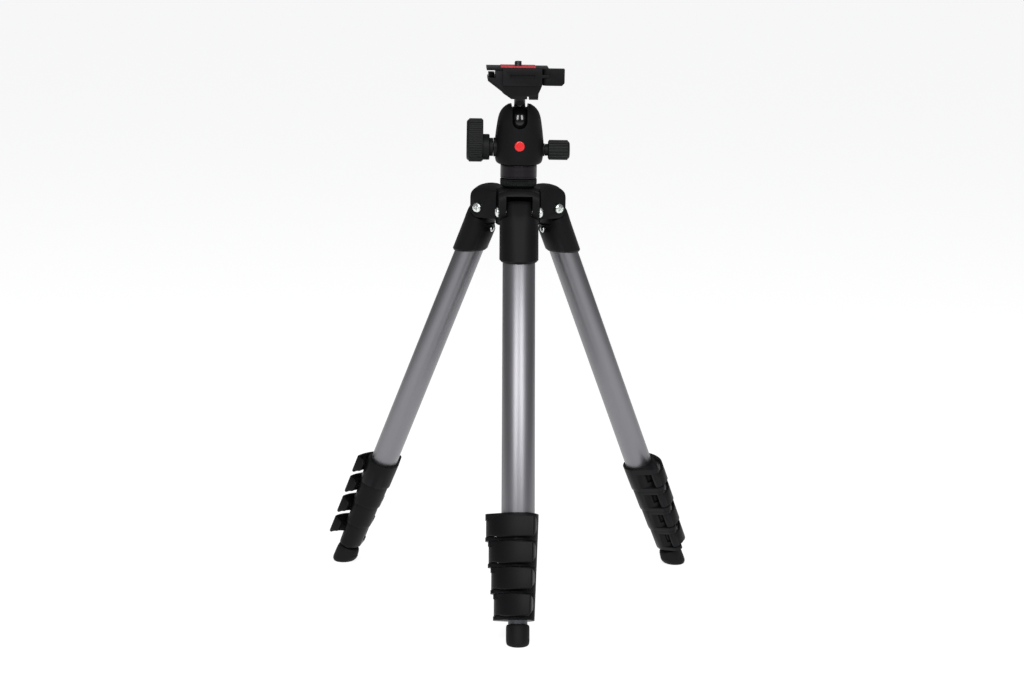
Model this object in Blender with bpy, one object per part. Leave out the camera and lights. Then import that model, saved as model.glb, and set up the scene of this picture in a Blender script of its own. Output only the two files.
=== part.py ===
"""A compact camera tripod with a ball head and a quick-release clamp, legs retracted.

Everything is in metres with +Z up.  The origin is on the floor, at the centre of
the footprint's box.  The front leg points to -Y, the other two to the back, and
each leg is drawn once in its own frame: X across the leg, Y towards the column,
Z up along the leg, with the leg's pivot at the origin.
"""
import bpy
import bmesh
import math
from mathutils import Matrix, Vector

# ---- driving dimensions -------------------------------------------------------
COLUMN_X = 0.00143         # column axis, measured from the centre of the part's box
COLUMN_Y = 0.04029
GAP = 0.0003               # clearance between touching pieces

# legs: spread, pivot and telescoping sections
LEG_AZIMUTHS = {"front": -90.0, "right": 30.0, "left": 150.0}
LEG_TILT = math.radians(23.24)
PIVOT_RADIUS = 0.02905
PIVOT_Z = 0.3239
TUBE_COUNT = 5
TUBE_HALF_WIDTH = 0.01325  # section 1, across the leg
TUBE_HALF_DEPTH = 0.01065
TUBE_STEP = 0.0014         # each section is smaller by this
TUBE_WALL = 0.00105
TUBE_TOP = -0.0125         # top end of section 1, along the leg
TUBE_TOP_STEP = 0.0040     # each inner section starts this much lower
TUBE_SEGMENTS = 20

# leg locks
LOCK_TOP = -0.2505
LOCK_PITCH = 0.0208
LOCK_TUBE_DEPTH = 0.0120   # how deep a tube sits in its own lock
LOCK_HALF_WIDTH = 0.0164   # first lock, on the side away from its hinge
LOCK_TAPER = 0.0008        # narrowing from one lock to the next
LOCK_WALL_HINGE = 0.0016   # collar wall on the hinge side
LOCK_WALL_DEPTH = 0.0024   # collar wall on the front and back
LOCK_SEGMENTS = 20
HINGE_PIN_X = -0.0218      # first lock's hinge pin
HINGE_PIN_STEP = 0.00215
EAR_RADIUS = 0.0042
EAR_TOP = 0.0036           # height of the upper ear
EAR_BOTTOM = 0.0174        # where the lower ear starts
KNUCKLE_RADIUS = 0.0036
LEVER_FRONT = -0.0195
LEVER_THICKNESS = 0.0024
LEVER_CORNER_X = 0.0132
LEVER_CORNER_STEP = 0.0010

# rubber foot
FOOT_TOP = -0.3368
FOOT_HALF = 0.0095
FOOT_TUBE_END = -0.3440

# leg casting
CASTING_CUT_Z = 0.2857     # its lower edge, level with the floor
TONGUE_HALF = 0.0103
CASTING_HALF_WIDTH = 0.0159
CASTING_HALF_DEPTH = 0.0129
SHOULDER_Z = -0.0065
EAR_CLEARANCE = 0.00895

# crown
CROWN_TOP = 0.3429         # highest point of a yoke
HUB_TOP = 0.3412
CROWN_BOTTOM = 0.3105
HUB_RADIUS = 0.0186
LOBE_HALF_WIDTH = 0.0163
LOBE_FACE = 0.00715        # outer face, measured outwards from the pivot
LOBE_DROP = 0.0083         # lower edge, measured down from the pivot
SLOT_HALF = 0.0107
SLOT_TOP = 0.3375
SLOT_INNER = 0.0190
PIVOT_HOLE = 0.0027
BOLT_RADIUS = 0.0024
BOLT_HEAD_RADIUS = 0.0040
BOLT_HEAD_HEIGHT = 0.0030

# centre column and the rings above the crown
COLUMN_RADIUS = 0.0102
COLUMN_WALL = 0.0013
COLUMN_BOTTOM = 0.1050
COLUMN_TOP = 0.3488
RING_BOTTOM = 0.3418
RING_TOP = 0.3486
RING_RADIUS = 0.01525
BASE_BOTTOM = 0.3491
BASE_TOP = 0.3602
BASE_RADIUS = 0.01505

# ball head
BALL_Z = 0.3960
BALL_RADIUS = 0.0127
STEM_RADIUS = 0.00465
STEM_TOP = 0.4150
STUD_RADIUS = 0.0030
STUD_TOP = 0.4225
HEAD_OPENING = 0.0083
HEAD_SLOT_HALF = 0.0058
SADDLE_Z = 0.4066          # the mouth's rim dips to here at the front and back
HEAD_MAX_DEPTH = 0.0176
HEAD_PROFILE = [           # height, half width
    (0.3605, 0.0150), (0.3612, 0.0166), (0.3628, 0.0186), (0.3653, 0.0196),
    (0.3700, 0.0206), (0.3740, 0.0208), (0.3790, 0.0206), (0.3826, 0.0200),
    (0.3880, 0.0193), (0.3930, 0.0185), (0.3974, 0.0178), (0.4010, 0.0171),
    (0.4040, 0.0160), (0.4065, 0.0145), (0.4090, 0.0121), (0.4104, 0.0102),
    (0.4110, 0.0092)]
BALL_KNOB_Z = 0.3742
PAN_KNOB_Z = 0.3724

# quick-release clamp and camera plate
CLAMP_FRONT = -0.0215
CLAMP_BODY_FRONT = -0.0203
CLAMP_BACK = 0.0205
CLAMP_RIGHT = 0.0173
POCKET_FLOOR = 0.4318
POCKET_LEFT = -0.0155
POCKET_RIGHT = 0.0130
POCKET_FRONT = -0.0189
POCKET_BACK = 0.0188
CLAMP_TOP = 0.4380
RAIL_TOP = 0.4403
LEVER_PIVOT = (0.0222, -0.0168)
CLAMP_LEVER_RADIUS = 0.0046
CLAMP_LEVER_END = 0.0356
CLAMP_LEVER_TOP = 0.4405
CLAMP_LEVER_BOTTOM = 0.4273
LUG_BOTTOM = 0.4330        # the clamp's lug, between the lever's two leaves
LUG_TOP = 0.4352
PLATE_TOP = 0.4410
PLATE_BOTTOM = 0.4383
PAD_TOP = 0.4417
SCREW_X = -0.0018
SCREW_RADIUS = 0.0031
SCREW_TOP = 0.4450

# ---- finishes -----------------------------------------------------------------
FINISHES = {               # base colour, roughness, metallic
    "satin_aluminium": ((0.42, 0.41, 0.44), 0.34, 1.0),
    "black_plastic": ((0.012, 0.012, 0.013), 0.48, 0.0),
    "black_casting": ((0.014, 0.014, 0.015), 0.55, 0.0),
    "dark_ring": ((0.045, 0.042, 0.046), 0.38, 0.6),
    "black_ball": ((0.008, 0.008, 0.009), 0.16, 0.0),
    "zinc_screw": ((0.72, 0.73, 0.72), 0.25, 1.0),
    "black_screw": ((0.030, 0.030, 0.032), 0.35, 0.8),
    "rubber": ((0.011, 0.011, 0.011), 0.75, 0.0),
    "column_tube": ((0.020, 0.020, 0.022), 0.35, 0.5)}


def clear_scene():
    """Start from an empty scene."""
    for obj in list(bpy.data.objects):
        bpy.data.objects.remove(obj, do_unlink=True)


def finish(name):
    """The Principled material of that name, made once."""
    material = bpy.data.materials.get(name)
    if material:
        return material
    colour, roughness, metallic = FINISHES[name]
    material = bpy.data.materials.new(name)
    material.use_nodes = True
    shader = material.node_tree.nodes["Principled BSDF"]
    shader.inputs["Base Color"].default_value = (*colour, 1.0)
    shader.inputs["Roughness"].default_value = roughness
    shader.inputs["Metallic"].default_value = metallic
    return material


# ---- building blocks ------------------------------------------------------------
def loft(rings, hollow=False):
    """A closed mesh through rings of points; a hollow one joins its last ring to its first."""
    bm = bmesh.new()
    loops = [[bm.verts.new(point) for point in ring] for ring in rings]
    count = len(rings[0])
    pairs = list(zip(loops, loops[1:]))
    if hollow:
        pairs.append((loops[-1], loops[0]))
    for lower, upper in pairs:
        for k in range(count):
            after = (k + 1) % count
            bm.faces.new((lower[k], lower[after], upper[after], upper[k]))
    if not hollow:
        bm.faces.new(list(reversed(loops[0])))
        bm.faces.new(loops[-1])
    bmesh.ops.remove_doubles(bm, verts=bm.verts, dist=1e-7)
    bmesh.ops.recalc_face_normals(bm, faces=bm.faces)
    return bm


def oval(half_x, half_y, z, count, centre=(0.0, 0.0), power=2.0):
    """A ring of a superellipse; power 2 is an ellipse and more is squarer."""
    ring = []
    for k in range(count):
        turn = 2.0 * math.pi * k / count
        c, s = math.cos(turn), math.sin(turn)
        x = math.copysign(abs(c) ** (2.0 / power), c) * half_x
        y = math.copysign(abs(s) ** (2.0 / power), s) * half_y
        ring.append(Vector((centre[0] + x, centre[1] + y, z)))
    return ring


def turned(profile, count):
    """A solid turned about Z from (height, radius) pairs."""
    return loft([oval(radius, radius, z, count) for z, radius in profile])


def prism(outline, start, end, axes="xyz"):
    """An outline in the first two axes, extruded along the third."""
    order = ["xyz".index(axis) for axis in axes]

    def place(a, b, c):
        point = [0.0, 0.0, 0.0]
        for index, value in zip(order, (a, b, c)):
            point[index] = value
        return Vector(point)
    return loft([[place(a, b, c) for a, b in outline] for c in (start, end)])


def box(low, high):
    """A box between two corners."""
    outline = [(low[0], low[1]), (high[0], low[1]), (high[0], high[1]), (low[0], high[1])]
    return prism(outline, low[2], high[2])


def arc(centre, radius, start, end, steps):
    """Points of a circular arc, with angles in degrees; radius may be a pair."""
    radii = radius if isinstance(radius, tuple) else (radius, radius)
    points = []
    for k in range(steps + 1):
        turn = math.radians(start + (end - start) * k / steps)
        points.append((centre[0] + radii[0] * math.cos(turn),
                       centre[1] + radii[1] * math.sin(turn)))
    return points


def bar(radius, start, end, axis, count, centre=(0.0, 0.0, 0.0)):
    """A plain cylinder along one axis."""
    bm = turned([(start, radius), (end, radius)], count)
    turn = {"x": Matrix.Rotation(math.pi / 2, 4, "Y"),
            "y": Matrix.Rotation(-math.pi / 2, 4, "X"),
            "z": Matrix.Identity(4)}[axis]
    bmesh.ops.transform(bm, matrix=Matrix.Translation(centre) @ turn, verts=bm.verts)
    return bm


def as_object(name, bm, finish_name="black_plastic"):
    """An object made from a bmesh."""
    mesh = bpy.data.meshes.new(name)
    bm.to_mesh(mesh)
    bm.free()
    obj = bpy.data.objects.new(name, mesh)
    bpy.context.scene.collection.objects.link(obj)
    mesh.materials.append(finish(finish_name))
    return obj


def combine(body, tools, operation):
    """Apply a Boolean with each tool in turn, and remove the tools."""
    for tool in tools:
        cutter = as_object("cutter", tool)
        cutter.hide_render = True
        cutter.display_type = "WIRE"
        modifier = body.modifiers.new("Boolean", "BOOLEAN")
        modifier.operation = operation
        modifier.solver = "EXACT"
        modifier.object = cutter
        bpy.context.view_layer.update()
        evaluated = body.evaluated_get(bpy.context.evaluated_depsgraph_get())
        mesh = bpy.data.meshes.new_from_object(evaluated)
        body.modifiers.remove(modifier)
        old = body.data
        body.data = mesh
        bpy.data.meshes.remove(old)
        bpy.data.objects.remove(cutter, do_unlink=True)


def smooth(obj):
    """Shade round faces smooth and keep the hard edges."""
    obj.data.shade_smooth()
    obj.data.set_sharp_from_angle(angle=math.radians(32.0))
    return obj


def copy_of(source, name):
    """Another object that shares a mesh."""
    obj = bpy.data.objects.new(name, source.data)
    bpy.context.scene.collection.objects.link(obj)
    return obj


def empty(name, location, rotation, parent=None):
    """A frame that carries other pieces."""
    obj = bpy.data.objects.new(name, None)
    obj.empty_display_size = 0.02
    bpy.context.scene.collection.objects.link(obj)
    obj.location = location
    obj.rotation_euler = rotation
    obj.parent = parent
    return obj


def attach(obj, parent, location=(0.0, 0.0, 0.0)):
    """Place an object under a parent."""
    obj.parent = parent
    obj.location = location
    return obj


# ---- telescoping legs -------------------------------------------------------------
def tube_halves(section):
    """Outer half width and half depth of a leg section, counted from 1."""
    inset = TUBE_STEP * (section - 1)
    return TUBE_HALF_WIDTH - inset, TUBE_HALF_DEPTH - inset


def lock_top(lock):
    """Height of a lock's top face along the leg, counted from 1."""
    return LOCK_TOP - LOCK_PITCH * (lock - 1)


def pin_x(lock):
    """Place of a lock's hinge pin across the leg."""
    return HINGE_PIN_X + HINGE_PIN_STEP * (lock - 1)


def tube(section):
    """One oval leg tube, open at both ends."""
    wide, deep = tube_halves(section)
    top = TUBE_TOP - TUBE_TOP_STEP * (section - 1)
    bottom = FOOT_TUBE_END
    if section < TUBE_COUNT:
        bottom = lock_top(section) - LOCK_TUBE_DEPTH
    outer = [oval(wide, deep, z, TUBE_SEGMENTS) for z in (bottom, top)]
    inner = [oval(wide - TUBE_WALL, deep - TUBE_WALL, z, TUBE_SEGMENTS) for z in (top, bottom)]
    return smooth(as_object("tube", loft(outer + inner, hollow=True), "satin_aluminium"))


def lock_outline(lock, z, share, with_ear):
    """A lock's outer ring at height z; share is how far down the lock it is, from 0 to 1."""
    wide, deep = tube_halves(lock)
    right = LOCK_HALF_WIDTH - LOCK_TAPER * (lock - 1 + share)
    left = wide + LOCK_WALL_HINGE
    depth = deep + LOCK_WALL_DEPTH - 0.5 * LOCK_TAPER * share
    ring = []
    for k in range(LOCK_SEGMENTS):
        turn = 2.0 * math.pi * k / LOCK_SEGMENTS
        c, s = math.cos(turn), math.sin(turn)
        point = Vector(((right if c > 0.0 else left) * c, depth * s, z))
        if with_ear and c < -0.35:
            reach = abs(s) * depth
            lean = min(1.0, (-c - 0.35) / 0.45)
            narrow = min(reach, EAR_RADIUS * 1.02) if lean >= 1.0 else reach * (1.0 - 0.42 * lean)
            out = pin_x(lock) - math.sqrt(max(0.0, EAR_RADIUS ** 2 - min(narrow, EAR_RADIUS) ** 2))
            point.x = point.x + (out - point.x) * lean
            point.y = math.copysign(narrow, s) if s else 0.0
        ring.append(point)
    return ring


def lock_collar(lock):
    """The clamp collar on a section's lower end, with two hinge ears on its left."""
    top = lock_top(lock)
    bottom = top - LOCK_PITCH + GAP
    ear_top = top - EAR_TOP
    ear_bottom = top - EAR_BOTTOM
    wide, deep = tube_halves(lock)
    step = top - LOCK_TUBE_DEPTH - GAP
    fit = 0.00025
    outer = [lock_outline(lock, top, 0.0, True), lock_outline(lock, ear_top, 0.2, True),
             lock_outline(lock, ear_top, 0.2, False), lock_outline(lock, ear_bottom, 0.8, False),
             lock_outline(lock, ear_bottom, 0.8, True), lock_outline(lock, bottom, 1.0, True)]
    next_wide, next_deep = tube_halves(lock + 1)
    inner = [oval(next_wide + fit, next_deep + fit, bottom, LOCK_SEGMENTS),
             oval(next_wide + fit, next_deep + fit, step, LOCK_SEGMENTS),
             oval(wide + fit, deep + fit, step, LOCK_SEGMENTS),
             oval(wide + fit, deep + fit, top, LOCK_SEGMENTS)]
    return smooth(as_object("lock", loft(outer + inner, hollow=True)))


def bezier(points, share):
    """A point of a cubic curve."""
    a, b, c, d = [Vector((*point, 0.0)) for point in points]
    rest = 1.0 - share
    return (a * rest ** 3 + b * 3.0 * rest ** 2 * share
            + c * 3.0 * rest * share ** 2 + d * share ** 3)


def lever_path(lock):
    """Outer line of a lever in plan, relative to its pin, with the height range at each point."""
    shift = HINGE_PIN_STEP * (lock - 1)
    corner = LEVER_CORNER_X - LEVER_CORNER_STEP * (lock - 1) - pin_x(lock)
    span = [(-0.0034, -0.0010), (-0.0030, -0.0140 + 0.2 * shift),
            (corner - 0.0170 + shift, LEVER_FRONT), (corner - 0.0020, LEVER_FRONT)]
    path = [(bezier(span, k / 9.0), k / 9.0) for k in range(10)]
    path += [(Vector((corner - 0.0005, LEVER_FRONT + 0.0006, 0.0)), 1.05),
             (Vector((corner + 0.0003, LEVER_FRONT + 0.0021, 0.0)), 1.12),
             (Vector((corner + 0.0012, LEVER_FRONT + 0.0058, 0.0)), 1.30),
             (Vector((corner + 0.0016, LEVER_FRONT + 0.0092, 0.0)), 1.50)]
    return path


def lever_heights(share):
    """Upper and lower edge of a lever, below its lock's top, along its length."""
    rise = min(1.0, max(0.0, share - 0.22) / 0.30)
    top = 0.0040 - 0.0034 * math.sin(rise * math.pi / 2.0)
    bottom = 0.0170 + 0.0016 * math.sin(rise * math.pi / 2.0)
    if share > 0.55:
        droop = (share - 0.55) / 0.95
        top += 0.0030 * droop
        bottom -= 0.0052 * max(0.0, share - 1.0) / 0.5
    return top, bottom


def lock_lever(lock):
    """The flip lever of a lock; its origin is on its pin, level with the lock's top."""
    path = lever_path(lock)
    rings = []
    for k, (point, share) in enumerate(path):
        before = path[max(0, k - 1)][0]
        after = path[min(len(path) - 1, k + 1)][0]
        along = (after - before).normalized()
        inward = Vector((-along.y, along.x, 0.0))
        thick = LEVER_THICKNESS * (1.0 if share < 1.2 else 0.85)
        inside = point + inward * thick
        top, bottom = lever_heights(share)
        rings.append([Vector((point.x, point.y, -top)), Vector((point.x, point.y, -bottom)),
                      Vector((inside.x, inside.y, -bottom)), Vector((inside.x, inside.y, -top))])
    lever = as_object("lever", loft(rings))
    combine(lever, [bar(KNUCKLE_RADIUS, -0.0170, -0.0040, "z", 16)], "UNION")
    return smooth(lever)


def level_ring(half_x, half_y, world_z, count):
    """A ring of the leg's frame that lies in a plane level with the floor."""
    ring = oval(half_x, half_y, 0.0, count)
    for point in ring:
        point.z = (world_z - PIVOT_Z + point.y * math.sin(LEG_TILT)) / math.cos(LEG_TILT)
    return ring


def foot():
    """Rubber foot with a flat sole, and a blind hole for the last tube."""
    wide, deep = tube_halves(TUBE_COUNT)
    fit = 0.0003
    count = 20
    outer = [oval(0.0083, 0.0081, FOOT_TOP, count), oval(0.0090, 0.0090, FOOT_TOP - 0.0012, count),
             oval(0.0094, 0.0099, FOOT_TOP - 0.0050, count),
             oval(FOOT_HALF, 0.0102, FOOT_TOP - 0.0080, count),
             level_ring(0.0093, 0.0106, 0.0034, count), level_ring(0.0086, 0.0097, 0.0014, count),
             level_ring(0.0072, 0.0080, 0.0, count)]
    end = FOOT_TUBE_END - GAP
    inner = [oval(wide + fit, deep + fit, FOOT_TOP, count), oval(wide + fit, deep + fit, end, count)]
    return smooth(as_object("foot", loft(list(reversed(outer)) + inner), "rubber"))


def leg_casting():
    """The black casting that hangs in the crown and holds the first tube."""
    count = 20
    wide, deep = tube_halves(1)
    fit = 0.0003

    def ring(z, half, outward, inward, power):
        points = oval(half, 1.0, z, count, power=power)
        for point in points:
            point.y *= inward if point.y > 0.0 else outward
        return points

    outer = [ring(0.0080, 0.0086, 0.0055, 0.0050, 3.0), ring(0.0068, TONGUE_HALF, 0.0080, 0.0070, 3.4),
             ring(0.0020, TONGUE_HALF, 0.0110, 0.0084, 3.4),
             ring(SHOULDER_Z, TONGUE_HALF, 0.0125, 0.0088, 3.4),
             ring(SHOULDER_Z - 0.0011, CASTING_HALF_WIDTH - 0.0004, 0.0128, 0.0089, 2.3),
             ring(-0.0130, CASTING_HALF_WIDTH, CASTING_HALF_DEPTH, 0.0092, 2.2),
             ring(-0.0175, CASTING_HALF_WIDTH, CASTING_HALF_DEPTH, CASTING_HALF_DEPTH, 2.1),
             level_ring(CASTING_HALF_WIDTH, CASTING_HALF_DEPTH, CASTING_CUT_Z + 0.0016, count),
             level_ring(CASTING_HALF_WIDTH - 0.0015, CASTING_HALF_DEPTH - 0.0012, CASTING_CUT_Z, count)]
    inner = [level_ring(wide + fit, deep + fit, CASTING_CUT_Z, count),
             oval(wide + fit, deep + fit, TUBE_TOP + GAP, count)]
    casting = as_object("casting", loft(outer + inner), "black_casting")
    relief = [(-EAR_CLEARANCE, 0.014)] + arc((0.0, 0.0), EAR_CLEARANCE, 180.0, 270.0, 8)
    relief += [(0.016, -EAR_CLEARANCE), (0.016, 0.014)]
    cutters = [prism(relief, side * 0.0106, side * 0.0180, "yzx") for side in (-1.0, 1.0)]
    cutters.append(bar(PIVOT_HOLE, -0.012, 0.012, "x", 16))
    combine(casting, cutters, "DIFFERENCE")
    return smooth(casting)


def pivot_bolt():
    """Pivot pin with a domed head at each end."""
    reach = LOBE_HALF_WIDTH + GAP
    half = [(reach, BOLT_RADIUS), (reach, BOLT_HEAD_RADIUS),
            (reach + BOLT_HEAD_HEIGHT * 0.45, BOLT_HEAD_RADIUS),
            (reach + BOLT_HEAD_HEIGHT * 0.85, BOLT_HEAD_RADIUS * 0.78),
            (reach + BOLT_HEAD_HEIGHT, BOLT_HEAD_RADIUS * 0.40)]
    profile = [(-z, radius) for z, radius in reversed(half)] + half
    bolt = turned(profile, 12)
    bmesh.ops.transform(bolt, matrix=Matrix.Rotation(math.pi / 2, 4, "Y"), verts=bolt.verts)
    return smooth(as_object("bolt", bolt, "zinc_screw"))


# ---- crown and column --------------------------------------------------------------
def crown(axis):
    """The spider that carries the column and the three leg pivots."""
    top_edge = [(0.0120, HUB_TOP), (0.0200, HUB_TOP + 0.0004), (0.0250, CROWN_TOP), (0.0290, CROWN_TOP),
                (0.0325, CROWN_TOP - 0.0008), (0.0346, 0.3404), (0.0359, 0.3382), (0.0363, 0.3350)]
    pivot = (PIVOT_RADIUS, PIVOT_Z)
    lower = arc(pivot, (LOBE_FACE, LOBE_DROP), 0.0, -90.0, 6)
    side = top_edge + lower + [(0.0120, PIVOT_Z - LOBE_DROP)]
    body = as_object("crown", turned([(CROWN_BOTTOM, HUB_RADIUS - 0.001), (CROWN_BOTTOM + 0.001, HUB_RADIUS),
                                      (HUB_TOP, HUB_RADIUS)], 24), "black_casting")
    lobes, cutters = [], []
    for azimuth in LEG_AZIMUTHS.values():
        turn = Matrix.Rotation(math.radians(azimuth), 4, "Z")
        lobe = prism(side, -LOBE_HALF_WIDTH, LOBE_HALF_WIDTH, "xzy")
        slot = box((SLOT_INNER, -SLOT_HALF, CROWN_BOTTOM - 0.01), (0.05, SLOT_HALF, SLOT_TOP))
        hole = bar(PIVOT_HOLE, -0.03, 0.03, "y", 16, (PIVOT_RADIUS, 0.0, PIVOT_Z))
        for shape in (lobe, slot, hole):
            bmesh.ops.transform(shape, matrix=turn, verts=shape.verts)
        lobes.append(lobe)
        cutters += [slot, hole]
    cutters.append(bar(COLUMN_RADIUS + 0.0004, CROWN_BOTTOM - 0.01, CROWN_TOP + 0.01, "z", 24))
    combine(body, lobes, "UNION")
    combine(body, cutters, "DIFFERENCE")
    attach(smooth(body), axis)


def centre_column(axis):
    """Round centre column, open at both ends."""
    inside = COLUMN_RADIUS - COLUMN_WALL
    outer = [oval(COLUMN_RADIUS, COLUMN_RADIUS, z, 24) for z in (COLUMN_BOTTOM, COLUMN_TOP)]
    inner = [oval(inside, inside, z, 24) for z in (COLUMN_TOP, COLUMN_BOTTOM)]
    attach(smooth(as_object("centre_column", loft(outer + inner, hollow=True), "column_tube")), axis)


def column_lock_ring(axis):
    """Twist ring that clamps the column."""
    bore = COLUMN_RADIUS + 0.0004
    rings = [(RING_BOTTOM, bore), (RING_BOTTOM, 0.0133), (RING_BOTTOM + 0.0017, RING_RADIUS),
             (RING_TOP - 0.0004, RING_RADIUS), (RING_TOP, RING_RADIUS - 0.0004), (RING_TOP, bore)]
    loops = [oval(radius, radius, z, 24) for z, radius in rings]
    attach(smooth(as_object("column_lock_ring", loft(loops, hollow=True))), axis)


def head_base(axis):
    """The ring that the ball head pans on, screwed to the top of the column."""
    profile = [(BASE_BOTTOM, BASE_RADIUS - 0.0004), (BASE_BOTTOM + 0.0004, BASE_RADIUS),
               (BASE_TOP - 0.0003, BASE_RADIUS), (BASE_TOP, BASE_RADIUS - 0.0003)]
    attach(smooth(as_object("head_base", turned(profile, 24), "dark_ring")), axis)


# ---- ball head -----------------------------------------------------------------------
def head_body(axis):
    """Housing of the ball, with its round mouth, front slot and two screw holes."""
    rings = [oval(half, min(half, HEAD_MAX_DEPTH), z, 24) for z, half in HEAD_PROFILE[::2]]
    body = as_object("head_body", loft(rings), "black_casting")
    cavity = [(BALL_Z + (BALL_RADIUS + 0.0004) * math.sin(math.radians(a)),
               (BALL_RADIUS + 0.0004) * math.cos(math.radians(a))) for a in range(-80, 81, 16)]
    slot = arc((0.0, BALL_Z + 0.0007), HEAD_SLOT_HALF, 180.0, 360.0, 10)
    slot += [(HEAD_SLOT_HALF, 0.42), (-HEAD_SLOT_HALF, 0.42)]
    saddle = [(-0.0064, SADDLE_Z), (0.0064, SADDLE_Z), (0.0074, 0.42), (-0.0074, 0.42)]
    bosses = [bar(0.0078, -0.0210, -0.0150, "x", 20, (0.0, 0.0, BALL_KNOB_Z)),
              bar(0.0053, 0.0150, 0.0210, "x", 16, (0.0, 0.0, PAN_KNOB_Z))]
    combine(body, bosses, "UNION")
    cutters = [turned(cavity, 20), prism(saddle, -0.03, 0.03, "xzy"), bar(HEAD_OPENING, BALL_Z, 0.42, "z", 24),
               prism(slot, -0.03, 0.0, "xzy"),
               bar(0.0033, -0.03, -0.0152, "x", 14, (0.0, 0.0, BALL_KNOB_Z)),
               bar(0.0033, 0.0152, 0.03, "x", 14, (0.0, 0.0, PAN_KNOB_Z))]
    combine(body, cutters, "DIFFERENCE")
    attach(smooth(body), axis)


def ball_stem(axis):
    """Ball, neck and stud, turned in one piece; its origin is the ball's centre."""
    profile = []
    for angle in range(-80, 67, 16):
        turn = math.radians(angle)
        profile.append((BALL_RADIUS * math.sin(turn), BALL_RADIUS * math.cos(turn)))
    profile += [(0.0122, STEM_RADIUS), (STEM_TOP - BALL_Z, STEM_RADIUS),
                (STEM_TOP - BALL_Z, STUD_RADIUS), (STUD_TOP - BALL_Z, STUD_RADIUS)]
    stem = smooth(as_object("ball_stem", turned(profile, 20), "black_ball"))
    attach(stem, axis, (0.0, 0.0, BALL_Z))


def ball_lock_knob(axis):
    """Eccentric knob that locks the ball, on the left."""
    small = 0.0085
    rise = 0.0235 - small
    tilt = math.degrees(math.asin((0.0123 - small) / rise))
    outline = arc((0.0, rise), small, tilt, 180.0 - tilt, 10)
    outline += arc((0.0, 0.0), 0.0123, 180.0 - tilt, 360.0 + tilt, 18)
    knob = as_object("ball_lock_knob", prism(outline, -0.0432, -0.0296, "yzx"))
    hub = bar(0.0106, -0.0300, -0.0243, "x", 20)
    boss = bar(0.0075, -0.0250, -0.0213, "x", 20)
    shaft = bar(0.0030, -0.0220, -0.0156, "x", 14)
    combine(knob, [hub, boss, shaft], "UNION")
    attach(smooth(knob), axis, (0.0, 0.0, BALL_KNOB_Z))


def pan_lock_knob(axis):
    """Small round knob that locks the panning base, on the right."""
    profile = [(0.0156, 0.0030), (0.0213, 0.0030), (0.0213, 0.0049), (0.0239, 0.0049),
               (0.0239, 0.0079), (0.0244, 0.00825), (0.0402, 0.00825), (0.0417, 0.0068)]
    knob = turned(profile, 20)
    bmesh.ops.transform(knob, matrix=Matrix.Rotation(math.pi / 2, 4, "Y"), verts=knob.verts)
    attach(smooth(as_object("pan_lock_knob", knob)), axis, (0.0, 0.0, PAN_KNOB_Z))


# ---- quick release -----------------------------------------------------------------------
def lever_outline(radius):
    """Plan of the clamp lever's round end and the part of the clamp beneath it."""
    return arc(LEVER_PIVOT, radius, -90.0, 90.0, 10)


def plate_clamp(axis):
    """The clamp on top of the stem that holds the camera plate."""
    side = [(-0.0264, 0.4323), (-0.0267, 0.4298), (-0.0155, 0.4213), (-0.0098, 0.4169),
            (-0.0075, 0.4153), (0.0054, 0.4153), (0.0054, 0.4174), (0.0145, 0.4174), (0.0146, 0.4199),
            (0.0162, 0.4234), (CLAMP_RIGHT, 0.4262), (CLAMP_RIGHT, CLAMP_TOP), (-0.0205, CLAMP_TOP),
            (-0.0205, 0.4323)]
    clamp = as_object("plate_clamp", prism(side, CLAMP_BODY_FRONT, CLAMP_BACK, "xzy"), "black_casting")
    rail = box((-0.0145, CLAMP_FRONT, 0.4262), (CLAMP_RIGHT, POCKET_FRONT, RAIL_TOP))
    nub = box((0.0070, -0.0195, 0.4149), (0.0144, -0.0085, 0.4180))
    catch = box((-0.0262, -0.0080, 0.4320), (-0.0212, 0.0080, 0.4358))
    lug_left = [(0.0120, LEVER_PIVOT[1] + CLAMP_LEVER_RADIUS), (0.0120, LEVER_PIVOT[1] - CLAMP_LEVER_RADIUS)]
    lug = prism(lug_left + lever_outline(CLAMP_LEVER_RADIUS), LUG_BOTTOM, LUG_TOP)
    combine(clamp, [rail, nub, catch, lug], "UNION")
    pocket = [(POCKET_LEFT, POCKET_FLOOR), (-0.0179, 0.4344), (-0.0209, 0.4386), (-0.0209, 0.45),
              (POCKET_RIGHT, 0.45), (POCKET_RIGHT, POCKET_FLOOR)]
    x, y = LEVER_PIVOT
    cutters = [prism(pocket, POCKET_FRONT, POCKET_BACK, "xzy"),
               box((-0.0090, -0.03, 0.4325), (0.0114, CLAMP_FRONT + 0.0012, 0.4360)),
               bar(STUD_RADIUS + GAP, 0.410, STUD_TOP + GAP, "z", 16),
               bar(0.0021, 0.42, 0.44, "z", 12, (x, y, 0.0))]
    combine(clamp, cutters, "DIFFERENCE")
    attach(smooth(clamp), axis)


def clamp_lever(axis):
    """Lever that opens the clamp; its origin is on its own pivot."""
    x, y = LEVER_PIVOT
    end = CLAMP_LEVER_END - x
    radius = CLAMP_LEVER_RADIUS
    lowest = CLAMP_LEVER_BOTTOM
    plan = arc((0.0, 0.0), radius, 90.0, 270.0, 12) + [(end, -radius), (end, radius)]
    lever = as_object("clamp_lever", prism(plan, lowest, CLAMP_LEVER_TOP))
    corner = [(end - 0.0030, lowest - 0.001), (end + 0.001, lowest - 0.001), (end + 0.001, lowest + 0.0035)]
    fork = box((-radius - 0.001, -radius - 0.001, LUG_BOTTOM - GAP), (radius + GAP, radius + 0.001, LUG_TOP + GAP))
    combine(lever, [prism(corner, -radius - 0.001, radius + 0.001, "xzy"), fork], "DIFFERENCE")
    combine(lever, [bar(0.0018, lowest + 0.002, LUG_TOP + 0.002, "z", 12)], "UNION")
    attach(smooth(lever), axis, (x, y, 0.0))


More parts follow.
